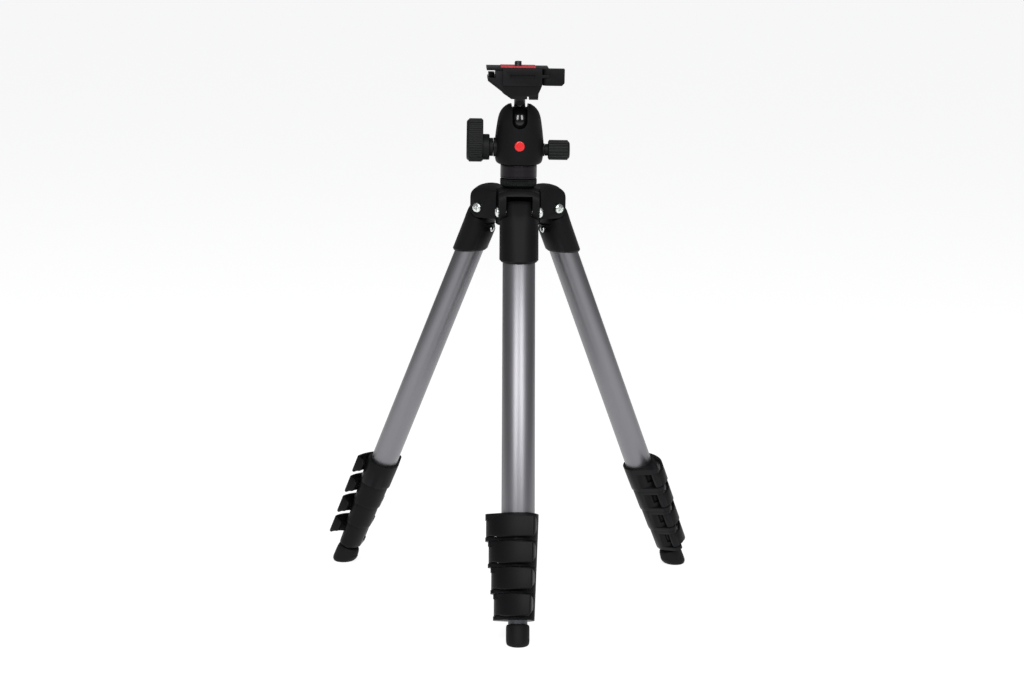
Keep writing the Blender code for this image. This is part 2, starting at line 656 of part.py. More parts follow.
def camera_plate(axis):
    """Camera plate: flange, grip pad, body that drops into the clamp, and screw recess."""
    notch_y = LEVER_PIVOT[1] + CLAMP_LEVER_RADIUS + GAP
    flange = [(-0.0277, -0.0186), (CLAMP_RIGHT, -0.0186), (CLAMP_RIGHT, notch_y), (0.0228, notch_y),
              (0.0228, 0.0188), (-0.0277, 0.0188)]
    plate = as_object("camera_plate", prism(flange, PLATE_BOTTOM, PLATE_TOP))
    pad = box((-0.0162, -0.0150, PLATE_TOP - 0.0004), (0.0125, 0.0140, PAD_TOP))
    body = [(-0.0150, 0.4321), (0.0127, 0.4321), (0.0127, 0.4386), (-0.0205, 0.4386), (-0.0175, 0.4345)]
    combine(plate, [pad, prism(body, -0.0186, 0.0185, "xzy")], "UNION")
    cutters = [bar(0.0070, 0.43, 0.4352, "z", 16, (SCREW_X, 0.0, 0.0)),
               bar(SCREW_RADIUS + 0.0004, 0.43, 0.45, "z", 16, (SCREW_X, 0.0, 0.0))]
    combine(plate, cutters, "DIFFERENCE")
    attach(smooth(plate), axis)


def camera_screw(axis):
    """Camera screw with its head in the plate's recess."""
    profile = [(0.4324, 0.0066), (0.4348, 0.0066), (0.4348, SCREW_RADIUS),
               (SCREW_TOP - 0.0005, SCREW_RADIUS), (SCREW_TOP, SCREW_RADIUS - 0.0006)]
    screw = smooth(as_object("camera_screw", turned(profile, 16), "black_screw"))
    attach(screw, axis, (SCREW_X, 0.0, 0.0))


# ---- assembly ----------------------------------------------------------------------------
def leg_frame(side, axis):
    """The frame of a leg: its origin is on the pivot and its Z runs up along the leg."""
    azimuth = math.radians(LEG_AZIMUTHS[side])
    place = (PIVOT_RADIUS * math.cos(azimuth), PIVOT_RADIUS * math.sin(azimuth), PIVOT_Z)
    return empty("leg_" + side + "_pivot", place, (-LEG_TILT, 0.0, azimuth + math.pi / 2), axis)


def build_legs(axis):
    """Three equal legs: each piece is drawn once and shared."""
    sources = {"casting": leg_casting(), "foot": foot()}
    for section in range(1, TUBE_COUNT + 1):
        sources["tube_%d" % section] = tube(section)
    for lock in range(1, TUBE_COUNT):
        sources["lock_%d" % lock] = lock_collar(lock)
        sources["lever_%d" % lock] = lock_lever(lock)
    bolt = pivot_bolt()
    for side in LEG_AZIMUTHS:
        frame = leg_frame(side, axis)
        for name, source in sources.items():
            piece = copy_of(source, "leg_%s_%s" % (side, name))
            place = (0.0, 0.0, 0.0)
            if name.startswith("lever"):
                lock = int(name[-1])
                place = (pin_x(lock), 0.0, lock_top(lock))
            attach(piece, frame, place)
        attach(copy_of(bolt, "pivot_bolt_" + side), frame)
    for source in list(sources.values()) + [bolt]:
        bpy.data.objects.remove(source, do_unlink=True)


def main():
    """Build the tripod."""
    clear_scene()
    axis = empty("column_axis", (COLUMN_X, COLUMN_Y, 0.0), (0.0, 0.0, 0.0))
    build_legs(axis)
    for part in (crown, centre_column, column_lock_ring, head_base, head_body, ball_stem,
                 ball_lock_knob, pan_lock_knob, plate_clamp, clamp_lever, camera_plate, camera_screw):
        part(axis)


main()
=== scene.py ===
# %% [markdown]
# # A compact tripod with a ball head
#
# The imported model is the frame: it says where every tube, lock and joint is.
# This lesson builds the surfaces that are seen on top of it. Most pieces follow
# simple rules, an oval that is lofted, a profile that is turned, a plan that is
# extruded, so they are drawn as rings of points, and each finish is a small node tree.

# %% The frame
import math

import bmesh
import bpy
import numpy as np
from mathutils import Matrix, Vector


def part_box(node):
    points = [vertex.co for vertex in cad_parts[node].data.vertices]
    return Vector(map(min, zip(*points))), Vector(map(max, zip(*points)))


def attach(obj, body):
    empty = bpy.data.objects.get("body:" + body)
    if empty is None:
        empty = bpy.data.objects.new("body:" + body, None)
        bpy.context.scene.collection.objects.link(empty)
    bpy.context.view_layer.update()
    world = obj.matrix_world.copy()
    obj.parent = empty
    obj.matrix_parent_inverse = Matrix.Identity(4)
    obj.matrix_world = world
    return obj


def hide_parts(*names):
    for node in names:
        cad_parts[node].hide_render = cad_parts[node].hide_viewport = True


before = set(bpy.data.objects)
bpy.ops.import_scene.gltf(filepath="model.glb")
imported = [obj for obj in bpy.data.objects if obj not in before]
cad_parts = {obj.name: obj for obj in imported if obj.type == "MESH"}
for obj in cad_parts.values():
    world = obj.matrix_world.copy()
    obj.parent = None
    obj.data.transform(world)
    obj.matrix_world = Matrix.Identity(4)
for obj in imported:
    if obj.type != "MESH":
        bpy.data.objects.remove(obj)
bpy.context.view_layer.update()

# %% [markdown]
# ## Places
#
# The tripod is symmetric about its column, not about its box, because the lock
# levers stick out to one side. The column's place comes from the column's own node.
# Each leg is drawn once in a frame of its own, X across the leg, Y towards the
# column and Z up along it, and then copied to its three places by a matrix.

# %% Column axis and leg frames
MM = 0.001
column_low, column_high = (Vector(corner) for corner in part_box("centre_column"))
AXIS = Vector(((column_low.x + column_high.x) / 2, (column_low.y + column_high.y) / 2, 0.0))
LEG_AZIMUTH = {"front": -90.0, "right": 30.0, "left": 150.0}
LEG_TILT = math.radians(23.24)
PIVOT_RADIUS = 29.05 * MM
PIVOT_Z = 323.9 * MM


def leg_matrix(side):
    """Places a leg's own frame in the row frame."""
    azimuth = math.radians(LEG_AZIMUTH[side])
    out = Vector((math.cos(azimuth), math.sin(azimuth), 0.0))
    place = AXIS + out * PIVOT_RADIUS + Vector((0.0, 0.0, PIVOT_Z))
    turn = Matrix.Rotation(azimuth + math.pi / 2, 4, "Z") @ Matrix.Rotation(-LEG_TILT, 4, "X")
    return Matrix.Translation(place) @ turn


HEAD = Matrix.Translation(AXIS)
print("column axis at", [round(v, 5) for v in AXIS])

# %% [markdown]
# ## Nodes written as arithmetic
#
# A material is easier to read as a formula than as a heap of links. One class wraps
# an output socket, so that adding or multiplying two of them adds a Math node. One
# method makes every other node: it takes the type, the settings and the sockets.


# %% Wire and bench
class Wire:
    """An output socket. Arithmetic on it adds Math nodes."""

    def __init__(self, bench, socket):
        self.bench = bench
        self.socket = socket

    def __add__(self, other):
        return self.bench.math("ADD", self, other)

    def __sub__(self, other):
        return self.bench.math("SUBTRACT", self, other)

    def __rsub__(self, other):
        return self.bench.math("SUBTRACT", other, self)

    def __mul__(self, other):
        return self.bench.math("MULTIPLY", self, other)

    def __truediv__(self, other):
        return self.bench.math("DIVIDE", self, other)

    __radd__ = __add__
    __rmul__ = __mul__


class Bench:
    """A node tree that is being built."""

    def __init__(self, tree):
        self.tree = tree

    def add(self, kind, settings=None, sockets=None, output=0):
        """Add a node and return one of its outputs; the settings come before the sockets."""
        node = self.tree.nodes.new(kind)
        for name, value in (settings or {}).items():
            setattr(node, name, value)
        for key, value in (sockets or {}).items():
            if isinstance(value, Wire):
                self.tree.links.new(value.socket, node.inputs[key])
            else:
                node.inputs[key].default_value = value
        return Wire(self, node.outputs[output]) if len(node.outputs) else None

    def math(self, operation, first, second):
        return self.add("ShaderNodeMath", {"operation": operation}, {0: first, 1: second})

    def limit(self, value):
        """The value kept between 0 and 1."""
        return self.add("ShaderNodeClamp", {}, {"Value": value})

    def stretch(self, vector, scale):
        return self.add("ShaderNodeVectorMath", {"operation": "MULTIPLY"}, {0: vector, 1: scale})

    def noise(self, vector, scale, detail=3.0, roughness=0.55):
        return self.add("ShaderNodeTexNoise", {}, {"Vector": vector, "Scale": scale, "Detail": detail,
                                                   "Roughness": roughness})

    def tint(self, first, second, factor):
        """A colour between two colours."""
        return self.add("ShaderNodeMix", {"data_type": "RGBA"}, {0: factor, 6: first, 7: second}, 2)


def rgb(red, green, blue):
    """A linear colour from the 0 to 255 values of a colour picker."""
    def linear(value):
        value = value / 255.0
        return value / 12.92 if value <= 0.04045 else ((value + 0.055) / 1.055) ** 2.4
    return (linear(red), linear(green), linear(blue), 1.0)


def material_bench(name):
    """A new material with an empty tree, and the place on the piece that its patterns read."""
    material = bpy.data.materials.new(name)
    material.use_nodes = True
    material.node_tree.nodes.clear()
    bench = Bench(material.node_tree)
    place = bench.add("ShaderNodeAttribute", {"attribute_name": "piece_place"}, output="Vector")
    return material, bench, place


def close_material(bench, colour, roughness, metallic, height, relief, fixed=None):
    """The shader, its bump and the output. What is the same all over sits on its own socket."""
    normal = bench.add("ShaderNodeBump", {}, {"Strength": 1.0, "Distance": relief, "Height": height})
    sockets = {"Base Color": colour, "Roughness": roughness, "Metallic": metallic, "Normal": normal}
    shader = bench.add("ShaderNodeBsdfPrincipled", {}, {**sockets, **(fixed or {})})
    bench.add("ShaderNodeOutputMaterial", {}, {"Surface": shader})


print("node bench ready")

# %% [markdown]
# ## Finishes
#
# The tubes are extruded aluminium, blasted and anodised: the colour is a cool grey, and
# very fine lines run along the tube from the extrusion die. The castings have a matte
# powder coat with a fine orange-peel grain. Locks, levers and knobs are moulded plastic
# with a spark-eroded texture. Handling rubs the coat a little smoother and lighter on
# its outer edges, which Pointiness finds. Steel screws are plated with bright zinc.


# %% Anodised aluminium
def anodised(name, light, dark, rough):
    """Satin anodised tube, with die lines along its length."""
    material, bench, place = material_bench(name)
    lines = bench.noise(bench.stretch(place, (1.0, 1.0, 0.012)), 2600.0, 2.0)
    cloud = bench.noise(bench.stretch(place, (1.0, 1.0, 0.2)), 60.0, 3.0)
    grain = bench.noise(place, 5200.0, 1.0)
    mottle = bench.limit(lines * 0.45 + cloud * 0.35 + grain * 0.2)
    colour = bench.tint(dark, light, mottle)
    roughness = cloud * 0.06 + lines * 0.05 + (rough - 0.055)
    close_material(bench, colour, roughness, 1.0, lines * 0.5 + grain * 0.5, 0.000012)
    return material


# %% Powder coat, plastic and rubber
def coated(name, base, worn, rough, grain_size, relief, metallic=0.0, edge=9.0, level=0.5):
    """A dark coat or moulded plastic: grain, a slow change of tone and rubbed edges."""
    material, bench, place = material_bench(name)
    grain = bench.noise(place, 1.0 / grain_size, 3.0, 0.6)
    tone = bench.noise(place, 45.0, 4.0)
    edges = bench.add("ShaderNodeNewGeometry", output="Pointiness")
    rub = bench.limit((edges - 0.515) * edge) * (tone + 0.4)
    shade = bench.limit(grain * 0.30 + tone * 0.30 + rub * 0.9)
    colour = bench.tint(base, worn, shade)
    roughness = bench.limit(grain * 0.10 + tone * 0.08 - rub * 0.18 + (rough - 0.09))
    close_material(bench, colour, roughness, metallic, grain, relief, {"Specular IOR Level": level})
    return material


# %% Turned and plated metal
def turned_metal(name, base, bright, rough, centre, pitch):
    """Lathe-turned metal: fine rings along Z of the piece, and small scuffs."""
    material, bench, place = material_bench(name)
    rings = bench.noise(bench.stretch(place, centre), pitch, 2.0)
    scuff = bench.noise(place, 900.0, 4.0, 0.7)
    colour = bench.tint(base, bright, bench.limit(rings * 0.6 + scuff * 0.4))
    roughness = rings * 0.10 + scuff * 0.10 + (rough - 0.10)
    close_material(bench, colour, roughness, 1.0, rings * 0.7 + scuff * 0.3, 0.00002)
    return material


ALU = anodised("satin_aluminium", rgb(139, 138, 142), rgb(122, 121, 125), 0.40)
ALU_THIN = anodised("inner_section_aluminium", rgb(92, 93, 97), rgb(78, 79, 82), 0.40)
COAT = coated("black_powder_coat", rgb(9, 9, 10), rgb(24, 24, 26), 0.50, 0.00035, 0.00003, level=0.10)
PLASTIC = coated("black_moulded_plastic", rgb(9, 9, 10), rgb(22, 22, 24), 0.46, 0.00022, 0.00002, level=0.10)
SOFT = coated("black_knob_rubber", rgb(9, 10, 10), rgb(25, 26, 27), 0.55, 0.0003, 0.00003, level=0.16)
RUBBER = coated("foot_rubber", rgb(10, 10, 10), rgb(22, 22, 22), 0.62, 0.00045, 0.00004, level=0.14)
GLOSS = coated("polished_black_ball", rgb(5, 5, 6), rgb(12, 12, 14), 0.12, 0.0008, 0.000002, 0.0, 0.0, 0.5)
COLUMN = coated("black_anodised_column", rgb(18, 18, 19), rgb(34, 34, 37), 0.36, 0.0006, 0.00001, 0.4,
                level=0.3)
RED_PAD = coated("red_grip_pad", rgb(172, 26, 38), rgb(206, 58, 66), 0.62, 0.0005, 0.00008, 0.0, 3.0)
RED_ENAMEL = coated("red_enamel_badge", rgb(205, 18, 22), rgb(226, 40, 40), 0.28, 0.002, 0.000004, 0.0, 2.0)
DARK_RING = turned_metal("dark_turned_ring", rgb(36, 34, 36), rgb(56, 53, 56), 0.36, (0.02, 0.02, 1.0),
                         2400.0)
ZINC = turned_metal("bright_zinc", rgb(206, 212, 208), rgb(240, 243, 240), 0.22, (1.0, 1.0, 1.0), 1500.0)
BLACK_STEEL = turned_metal("blackened_steel", rgb(52, 52, 54), rgb(84, 84, 88), 0.34, (0.1, 0.1, 1.0), 1800.0)
print("finishes:", len(bpy.data.materials))

# %% [markdown]
# ## Drawing with rings
#
# A ring is an array of points. Rings of equal length are skinned into a shell, and a
# hollow shell joins its last ring back to its first, which gives a tube its wall. A
# Bevel modifier then breaks the sharp edges, because on the real pieces every edge has
# a small radius that catches a thin line of light.


# %% Rings and shells
def ring(half_x, half_y, z, count=96, power=2.0, centre=(0.0, 0.0)):
    """A superellipse in a level plane; power 2 is an ellipse and more is squarer."""
    turn = np.linspace(0.0, 2.0 * math.pi, count, endpoint=False)
    c, s = np.cos(turn), np.sin(turn)
    x = np.copysign(np.abs(c) ** (2.0 / power), c) * half_x + centre[0]
    y = np.copysign(np.abs(s) ** (2.0 / power), s) * half_y + centre[1]
    return np.column_stack([x, y, np.full(count, z)])


def shell(rings, hollow=False):
    """Skin rings into one closed mesh."""
    bm = bmesh.new()
    loops = [[bm.verts.new(point) for point in one] for one in rings]
    pairs = list(zip(loops, loops[1:])) + ([(loops[-1], loops[0])] if hollow else [])
    for lower, upper in pairs:
        for k in range(len(lower)):
            after = (k + 1) % len(lower)
            bm.faces.new((lower[k], lower[after], upper[after], upper[k]))
    if not hollow:
        bm.faces.new(loops[0][::-1])
        bm.faces.new(loops[-1])
    bmesh.ops.remove_doubles(bm, verts=bm.verts, dist=1e-7)
    bmesh.ops.recalc_face_normals(bm, faces=bm.faces)
    return bm


def turned(profile, count=96):
    """A solid turned about Z from (height, radius) pairs."""
    return shell([ring(radius, radius, z, count) for z, radius in profile])


def prism(outline, start, end, axes="xyz"):
    """An outline in the first two axes, extruded along the third."""
    order = ["xyz".index(axis) for axis in axes]
    rings = []
    for depth in (start, end):
        points = np.zeros((len(outline), 3))
        points[:, order[0]] = [point[0] for point in outline]
        points[:, order[1]] = [point[1] for point in outline]
        points[:, order[2]] = depth
        rings.append(points)
    return shell(rings)


def block(low, high):
    outline = [(low[0], low[1]), (high[0], low[1]), (high[0], high[1]), (low[0], high[1])]
    return prism(outline, low[2], high[2])


def arc(centre, radius, start, end, steps=24):
    """Points on a circular or oval arc, angles in degrees."""
    radii = radius if isinstance(radius, tuple) else (radius, radius)
    turn = np.radians(np.linspace(start, end, steps + 1))
    return [(centre[0] + radii[0] * math.cos(a), centre[1] + radii[1] * math.sin(a)) for a in turn]


def bar(radius, start, end, axis="z", centre=(0.0, 0.0, 0.0), count=48):
    """A round bar along one axis."""
    return turned_along([(start, radius), (end, radius)], axis, centre, count)


def turned_along(profile, axis, centre=(0.0, 0.0, 0.0), count=96):
    """A turned solid whose axis is X, Y or Z."""
    bm = turned(profile, count)
    turn = {"x": Matrix.Rotation(math.pi / 2, 4, "Y"), "y": Matrix.Rotation(-math.pi / 2, 4, "X"),
            "z": Matrix.Identity(4)}[axis]
    bmesh.ops.transform(bm, matrix=Matrix.Translation(centre) @ turn, verts=bm.verts)
    return bm


# %% From shell to object
def draft(bm, name="draft"):
    """An object in the scene made from a bmesh."""
    mesh = bpy.data.meshes.new(name)
    bm.to_mesh(mesh)
    bm.free()
    obj = bpy.data.objects.new(name, mesh)
    bpy.context.scene.collection.objects.link(obj)
    return obj


def settle(obj):
    """Replace an object's mesh by what its modifiers make of it."""
    bpy.context.view_layer.update()
    evaluated = obj.evaluated_get(bpy.context.evaluated_depsgraph_get())
    mesh = bpy.data.meshes.new_from_object(evaluated)
    obj.modifiers.clear()
    obj.data = mesh
    return obj


def carve(obj, tools, operation="DIFFERENCE"):
    """Cut or join other shells, one at a time."""
    for tool in tools:
        cutter = draft(tool, "cutter")
        cutter.display_type = "WIRE"
        cut = obj.modifiers.new("cut", "BOOLEAN")
        cut.operation = operation
        cut.object = cutter
        settle(obj)
        bpy.data.objects.remove(cutter, do_unlink=True)
    return obj


def soften(obj, width, segments=3, angle=32.0):
    """Round the edges that are sharper than an angle."""
    bevel = obj.modifiers.new("soften", "BEVEL")
    bevel.width = width
    bevel.segments = segments
    bevel.limit_method = "ANGLE"
    bevel.angle_limit = math.radians(angle)
    bevel.use_clamp_overlap = True
    bevel.harden_normals = False
    return settle(obj)


def place(source, name, matrix, body, slot, nodes, material):
    """A finished piece: its place is in its mesh, and it stands for CAD nodes."""
    mesh = source.data.copy()
    points = np.empty(len(mesh.vertices) * 3, dtype=np.float32)
    mesh.vertices.foreach_get("co", points)
    mesh.attributes.new("piece_place", "FLOAT_VECTOR", "POINT").data.foreach_set("vector", points)
    mesh.transform(matrix)
    mesh.materials.clear()
    mesh.materials.append(material)
    mesh.shade_smooth()
    mesh.set_sharp_from_angle(angle=math.radians(38.0))
    mesh.name = name
    obj = bpy.data.objects.new(name, mesh)
    bpy.context.scene.collection.objects.link(obj)
    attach(obj, body)
    if nodes:
        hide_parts(*nodes)
    return obj


def put(source, name, body, slot, nodes, material, matrix=HEAD):
    """Place one piece and drop its draft."""
    piece = place(source, name, matrix, body, slot, nodes, material)
    bpy.data.objects.remove(source, do_unlink=True)
    return piece


def on_each_leg(source, name, part_of, slot, node, material):
    """Place a leg piece three times; part_of and node are patterns with the leg's name."""
    for side in LEG_AZIMUTH:
        leg = "leg_" + side
        nodes = [node.format(leg=leg)] if node else []
        place(source, leg + "_" + name, leg_matrix(side), part_of.format(leg=leg), slot, nodes, material)
    faces = len(source.data.polygons)
    bpy.data.objects.remove(source, do_unlink=True)
    print(name, faces, "faces on each leg")


print("drawing tools ready")

# %% [markdown]
# ## Telescoping tubes
#
# Five oval tubes slide in each other. Only the first is seen along most of its length;
# a short stretch of the last shows above the foot. The wall is 1 mm, so the mouths are
# made as a hollow shell, and the mouth's edge is broken with a small radius.

# %% Five tubes on each leg
TUBE_HALF = (13.25 * MM, 10.65 * MM)
TUBE_STEP = 1.4 * MM
TUBE_WALL = 1.05 * MM
LOCK_TOP = -250.5 * MM
LOCK_PITCH = 20.8 * MM


def tube_half(section):
    """Half width and half depth of a section's tube, counted from 1."""
    return tuple(half - TUBE_STEP * (section - 1) for half in TUBE_HALF)


def section_body(section):
    """The body that carries a section, as a pattern."""
    return "{leg}" if section == 1 else "{leg}_section_%d" % section


for section in range(1, 6):
    wide, deep = tube_half(section)
    top = (-12.5 - 4.0 * (section - 1)) * MM
    bottom = -344.0 * MM if section == 5 else LOCK_TOP - LOCK_PITCH * (section - 1) - 12.0 * MM
    outer = [ring(wide, deep, z, 128) for z in (bottom, top)]
    inner = [ring(wide - TUBE_WALL, deep - TUBE_WALL, z, 128) for z in (top, bottom)]
    tube = soften(draft(shell(outer + inner, hollow=True)), 0.0002, 2)
    on_each_leg(tube, "tube_%d" % section, section_body(section), "tube", "{leg}_tube_%d" % section,
                ALU if section == 1 else ALU_THIN)

# %% [markdown]
# ## Lock collars
#
# A collar grips the end of each tube. In plan it is an oval with two ears that hold the
# hinge pin. The outline that wraps an oval and the pin's round end is their hull, found
# direction by direction: the point that lies farthest out is the one that counts.

# %% Collar outline
PIN_X = -21.8 * MM
PIN_STEP = 2.15 * MM
EAR = 4.2 * MM
FIRST_LIP = 1.3 * MM      # the first collar reaches a little higher


def pin_x(lock):
    return PIN_X + PIN_STEP * (lock - 1)


def collar_ring(lock, z, share, ear, grow=0.0, count=144):
    """Outline of a collar at height z; share runs from 0 at its top to 1 at its bottom."""
    wide, deep = tube_half(lock)
    right = (16.4 - 0.8 * (lock - 1 + share)) * MM + grow
    left = wide + 1.6 * MM + grow
    depth = deep + (2.4 - 0.4 * share) * MM + grow
    turn = np.linspace(0.0, 2.0 * math.pi, count, endpoint=False)
    c, s = np.cos(turn), np.sin(turn)
    half = np.where(c > 0.0, right, left)
    reach = np.sqrt((half * c) ** 2 + (depth * s) ** 2)
    x, y = half ** 2 * c / reach, depth ** 2 * s / reach
    if ear:
        radius = EAR + grow
        farther = pin_x(lock) * c + radius > reach
        x = np.where(farther, pin_x(lock) + radius * c, x)
        y = np.where(farther, radius * s, y)
    return np.column_stack([x, y, np.full(count, z)])


# %% Four collars on each leg
for lock in range(1, 5):
    top = LOCK_TOP - LOCK_PITCH * (lock - 1)
    bottom = top - LOCK_PITCH + 0.3 * MM
    ear_top, ear_bottom = top - 3.6 * MM, top - 17.4 * MM
    lip = top + (FIRST_LIP if lock == 1 else 0.0)
    outer = [collar_ring(lock, lip, 0.0, True), collar_ring(lock, ear_top, 0.2, True),
             collar_ring(lock, ear_top, 0.2, False), collar_ring(lock, ear_bottom, 0.8, False),
             collar_ring(lock, ear_bottom, 0.8, True), collar_ring(lock, bottom, 1.0, True)]
    wide, deep = tube_half(lock)
    next_wide, next_deep = tube_half(lock + 1)
    step = top - 12.3 * MM
    inner = [ring(next_wide + 0.25 * MM, next_deep + 0.25 * MM, z, 144) for z in (bottom, step)]
    inner += [ring(wide + 0.25 * MM, deep + 0.25 * MM, z, 144) for z in (step, lip)]
    collar = draft(shell(outer + inner, hollow=True))
    reach = -0.94 * (wide + 0.65 * MM)
    slit = block((-30.0 * MM, 3.6 * MM, top - 13.2 * MM), (reach, 5.4 * MM, top - 4.5 * MM))
    toe = block((-30.0 * MM, 0.5 * MM, top - 13.4 * MM), (reach, 5.4 * MM, top - 11.6 * MM))
    carve(collar, [slit, toe])
    soften(collar, 0.6 * MM, 3)
    on_each_leg(collar, "lock_%d" % lock, section_body(lock), "plastic", "{leg}_lock_%d" % lock, PLASTIC)

# %% [markdown]
# ## Flip levers
#
# A lever is a curved band: it leaves the knuckle on the pin, sweeps across the front of
# the collar and turns back round the far corner. The plan is a Bezier curve and the
# band's upper and lower edges change height along it, so it is lofted ring by ring
# along the path with a rounded cross-section.


# %% Lever path and section
def bezier(points, share):
    rest = 1.0 - share
    a, b, c, d = (np.array(point) for point in points)
    return a * rest ** 3 + 3.0 * b * rest ** 2 * share + 3.0 * c * rest * share ** 2 + d * share ** 3


def lever_line(lock, steps=36):
    """Outer line of the band in plan, from the pin, and how far along each point is."""
    shift = PIN_STEP * (lock - 1)
    corner = (13.2 - 1.0 * (lock - 1)) * MM - pin_x(lock)
    front = -19.5 * MM
    span = [(-3.4 * MM, -1.0 * MM), (-3.0 * MM, -14.0 * MM + 0.2 * shift),
            (corner - 17.0 * MM + shift, front), (corner - 2.0 * MM, front)]
    line = [(bezier(span, k / steps), k / steps) for k in range(steps + 1)]
    bend = [(corner - 2.0 * MM, front), (corner - 0.2 * MM, front), (corner + 0.8 * MM, front + 4.0 * MM),
            (corner + 1.6 * MM, front + 9.2 * MM)]
    line += [(bezier(bend, k / 12), 1.0 + 0.5 * k / 12) for k in range(1, 13)]
    return line


def lever_edge(share):
    """Upper and lower edge of the band below its collar's top."""
    rise = math.sin(min(1.0, max(0.0, share - 0.22) / 0.30) * math.pi / 2.0)
    top, bottom = (4.0 - 3.4 * rise) * MM, (17.0 + 1.6 * rise) * MM
    if share > 0.55:
        top += 3.0 * MM * (share - 0.55) / 0.95
        bottom -= 5.2 * MM * max(0.0, share - 1.0) / 0.5
    corner = 1.7 * MM * (1.0 - math.sqrt(1.0 - min(1.0, max(0.0, (share - 1.36) / 0.14)) ** 2))
    top, bottom = top + corner, bottom - corner
    return top, bottom


def band_section(point, along, top, bottom, thick):
    """A rounded rectangle across the band."""
    across = np.array((-along[1], along[0]))
    corner = 1.0 * MM
    outline = []
    for cx, cz, start in ((thick - corner, -bottom + corner, -90), (thick - corner, -top - corner, 0),
                          (corner, -top - corner, 90), (corner, -bottom + corner, 180)):
        outline += arc((cx, cz), corner, start, start + 90, 4)
    return np.array([(point[0] + across[0] * u, point[1] + across[1] * u, z) for u, z in outline])


# %% Four levers on each leg
for lock in range(1, 5):
    line = lever_line(lock)
    rings = []
    for k, (point, share) in enumerate(line):
        along = line[min(k + 1, len(line) - 1)][0] - line[max(k - 1, 0)][0]
        along = along / np.linalg.norm(along)
        top, bottom = lever_edge(share)
        rings.append(band_section(point, along, top, bottom, (2.4 if share < 1.2 else 2.1) * MM))
    lever = carve(draft(shell(rings)), [bar(3.6 * MM, -17.0 * MM, -4.0 * MM)], "UNION")
    soften(lever, 0.25 * MM, 2, 50.0)
    lever.data.transform(Matrix.Translation((pin_x(lock), 0.0, LOCK_TOP - LOCK_PITCH * (lock - 1))))
    node = "{leg}_lever_%d" % lock
    on_each_leg(lever, "lever_%d" % lock, node, "plastic", node, PLASTIC)

# %% [markdown]
# The hinge pins are steel, pressed through both ears. Only their ends show, so a pin is
# a short turned rod with a broken edge, and it rides with the collar that holds it.

# %% Hinge pins
for lock in range(1, 5):
    top = LOCK_TOP - LOCK_PITCH * (lock - 1)
    ends = [(top - 20.3 * MM, 1.35 * MM), (top + 0.05 * MM, 1.35 * MM), (top + 0.15 * MM, 1.1 * MM)]
    pin = draft(turned_along(ends, "z", (pin_x(lock), 0.0, 0.0), 32))
    on_each_leg(pin, "lock_%d_pin" % lock, section_body(lock), "zinc_screw", None, BLACK_STEEL)

# %% [markdown]
# ## Rubber feet
#
# The sole is level with the floor while the leg leans, so the lowest rings are not
# square to the leg: each of their points is dropped along the leg until its height is right.


# %% Feet
def level_ring(half_x, half_y, height, count=96):
    """A ring of the leg's frame that lies level at a height above the floor."""
    points = ring(half_x, half_y, 0.0, count)
    points[:, 2] = (height - PIVOT_Z + points[:, 1] * math.sin(LEG_TILT)) / math.cos(LEG_TILT)
    return points


FOOT_TOP = -336.8 * MM
profile = [(8.4, 8.0, 0.0), (8.8, 8.4, 0.3), (9.1, 8.9, 0.9), (9.25, 9.3, 2.0), (9.3, 9.7, 4.0),
           (9.3, 9.9, 6.4)]
outer = [ring(x * MM, y * MM, FOOT_TOP - down * MM) for x, y, down in profile]
outer += [level_ring(x * MM, y * MM, z * MM) for x, y, z in
          ((9.3, 10.1, 5.2), (9.3, 10.0, 3.6), (9.2, 9.5, 2.2), (8.95, 8.7, 1.2), (8.55, 7.9, 0.5),
           (8.0, 7.1, 0.12), (7.6, 6.7, 0.0))]
wide, deep = tube_half(5)
inner = [ring(wide + 0.3 * MM, deep + 0.3 * MM, z) for z in (FOOT_TOP, -344.3 * MM)]
foot = draft(shell(outer[::-1] + inner))
on_each_leg(foot, "foot", "{leg}_section_5", "rubber", "{leg}_foot", RUBBER)

# %% [markdown]
# ## Leg castings
#
# The casting joins a flat tongue, which hangs in the crown's slot, to the oval of the
# first tube. Both are superellipses, one nearly square, so the same rings make both,
# and the shoulder between them stops the leg against the crown's ears.


# %% Castings with their screws
def casting_ring(z, half, outward, inward, power):
    points = ring(half, 1.0, z, 128, power)
    points[:, 1] *= np.where(points[:, 1] > 0.0, inward, outward)
    return points


rows = [(8.0, 8.6, 5.5, 5.0, 3.0), (6.8, 10.3, 8.0, 7.0, 3.6), (2.0, 10.3, 11.0, 8.4, 3.8),
        (-6.5, 10.3, 12.5, 8.8, 3.8), (-7.6, 15.5, 12.8, 8.9, 2.3), (-13.0, 15.9, 12.9, 9.2, 2.2),
        (-17.5, 15.9, 12.9, 12.9, 2.1)]
outer = [casting_ring(z * MM, half * MM, out * MM, back * MM, power) for z, half, out, back, power in rows]
outer += [level_ring(15.9 * MM, 12.9 * MM, 287.3 * MM, 128),
          level_ring(14.4 * MM, 11.7 * MM, 285.7 * MM, 128)]
wide, deep = tube_half(1)
inner = [level_ring(wide + 0.3 * MM, deep + 0.3 * MM, 285.7 * MM, 128),
         ring(wide + 0.3 * MM, deep + 0.3 * MM, -12.2 * MM, 128)]
casting = draft(shell(outer + inner))
clear = 8.95 * MM
relief = [(-clear, 14 * MM)] + arc((0.0, 0.0), clear, 180.0, 270.0) + [(16 * MM, -clear), (16 * MM, 14 * MM)]
sides = [prism(relief, side * 10.6 * MM, side * 18.0 * MM, "yzx") for side in (-1.0, 1.0)]
carve(casting, sides + [bar(2.7 * MM, -12 * MM, 12 * MM, "x")])
soften(casting, 0.6 * MM, 3)
on_each_leg(casting, "casting", "{leg}", "casting", "{leg}_casting", COAT)


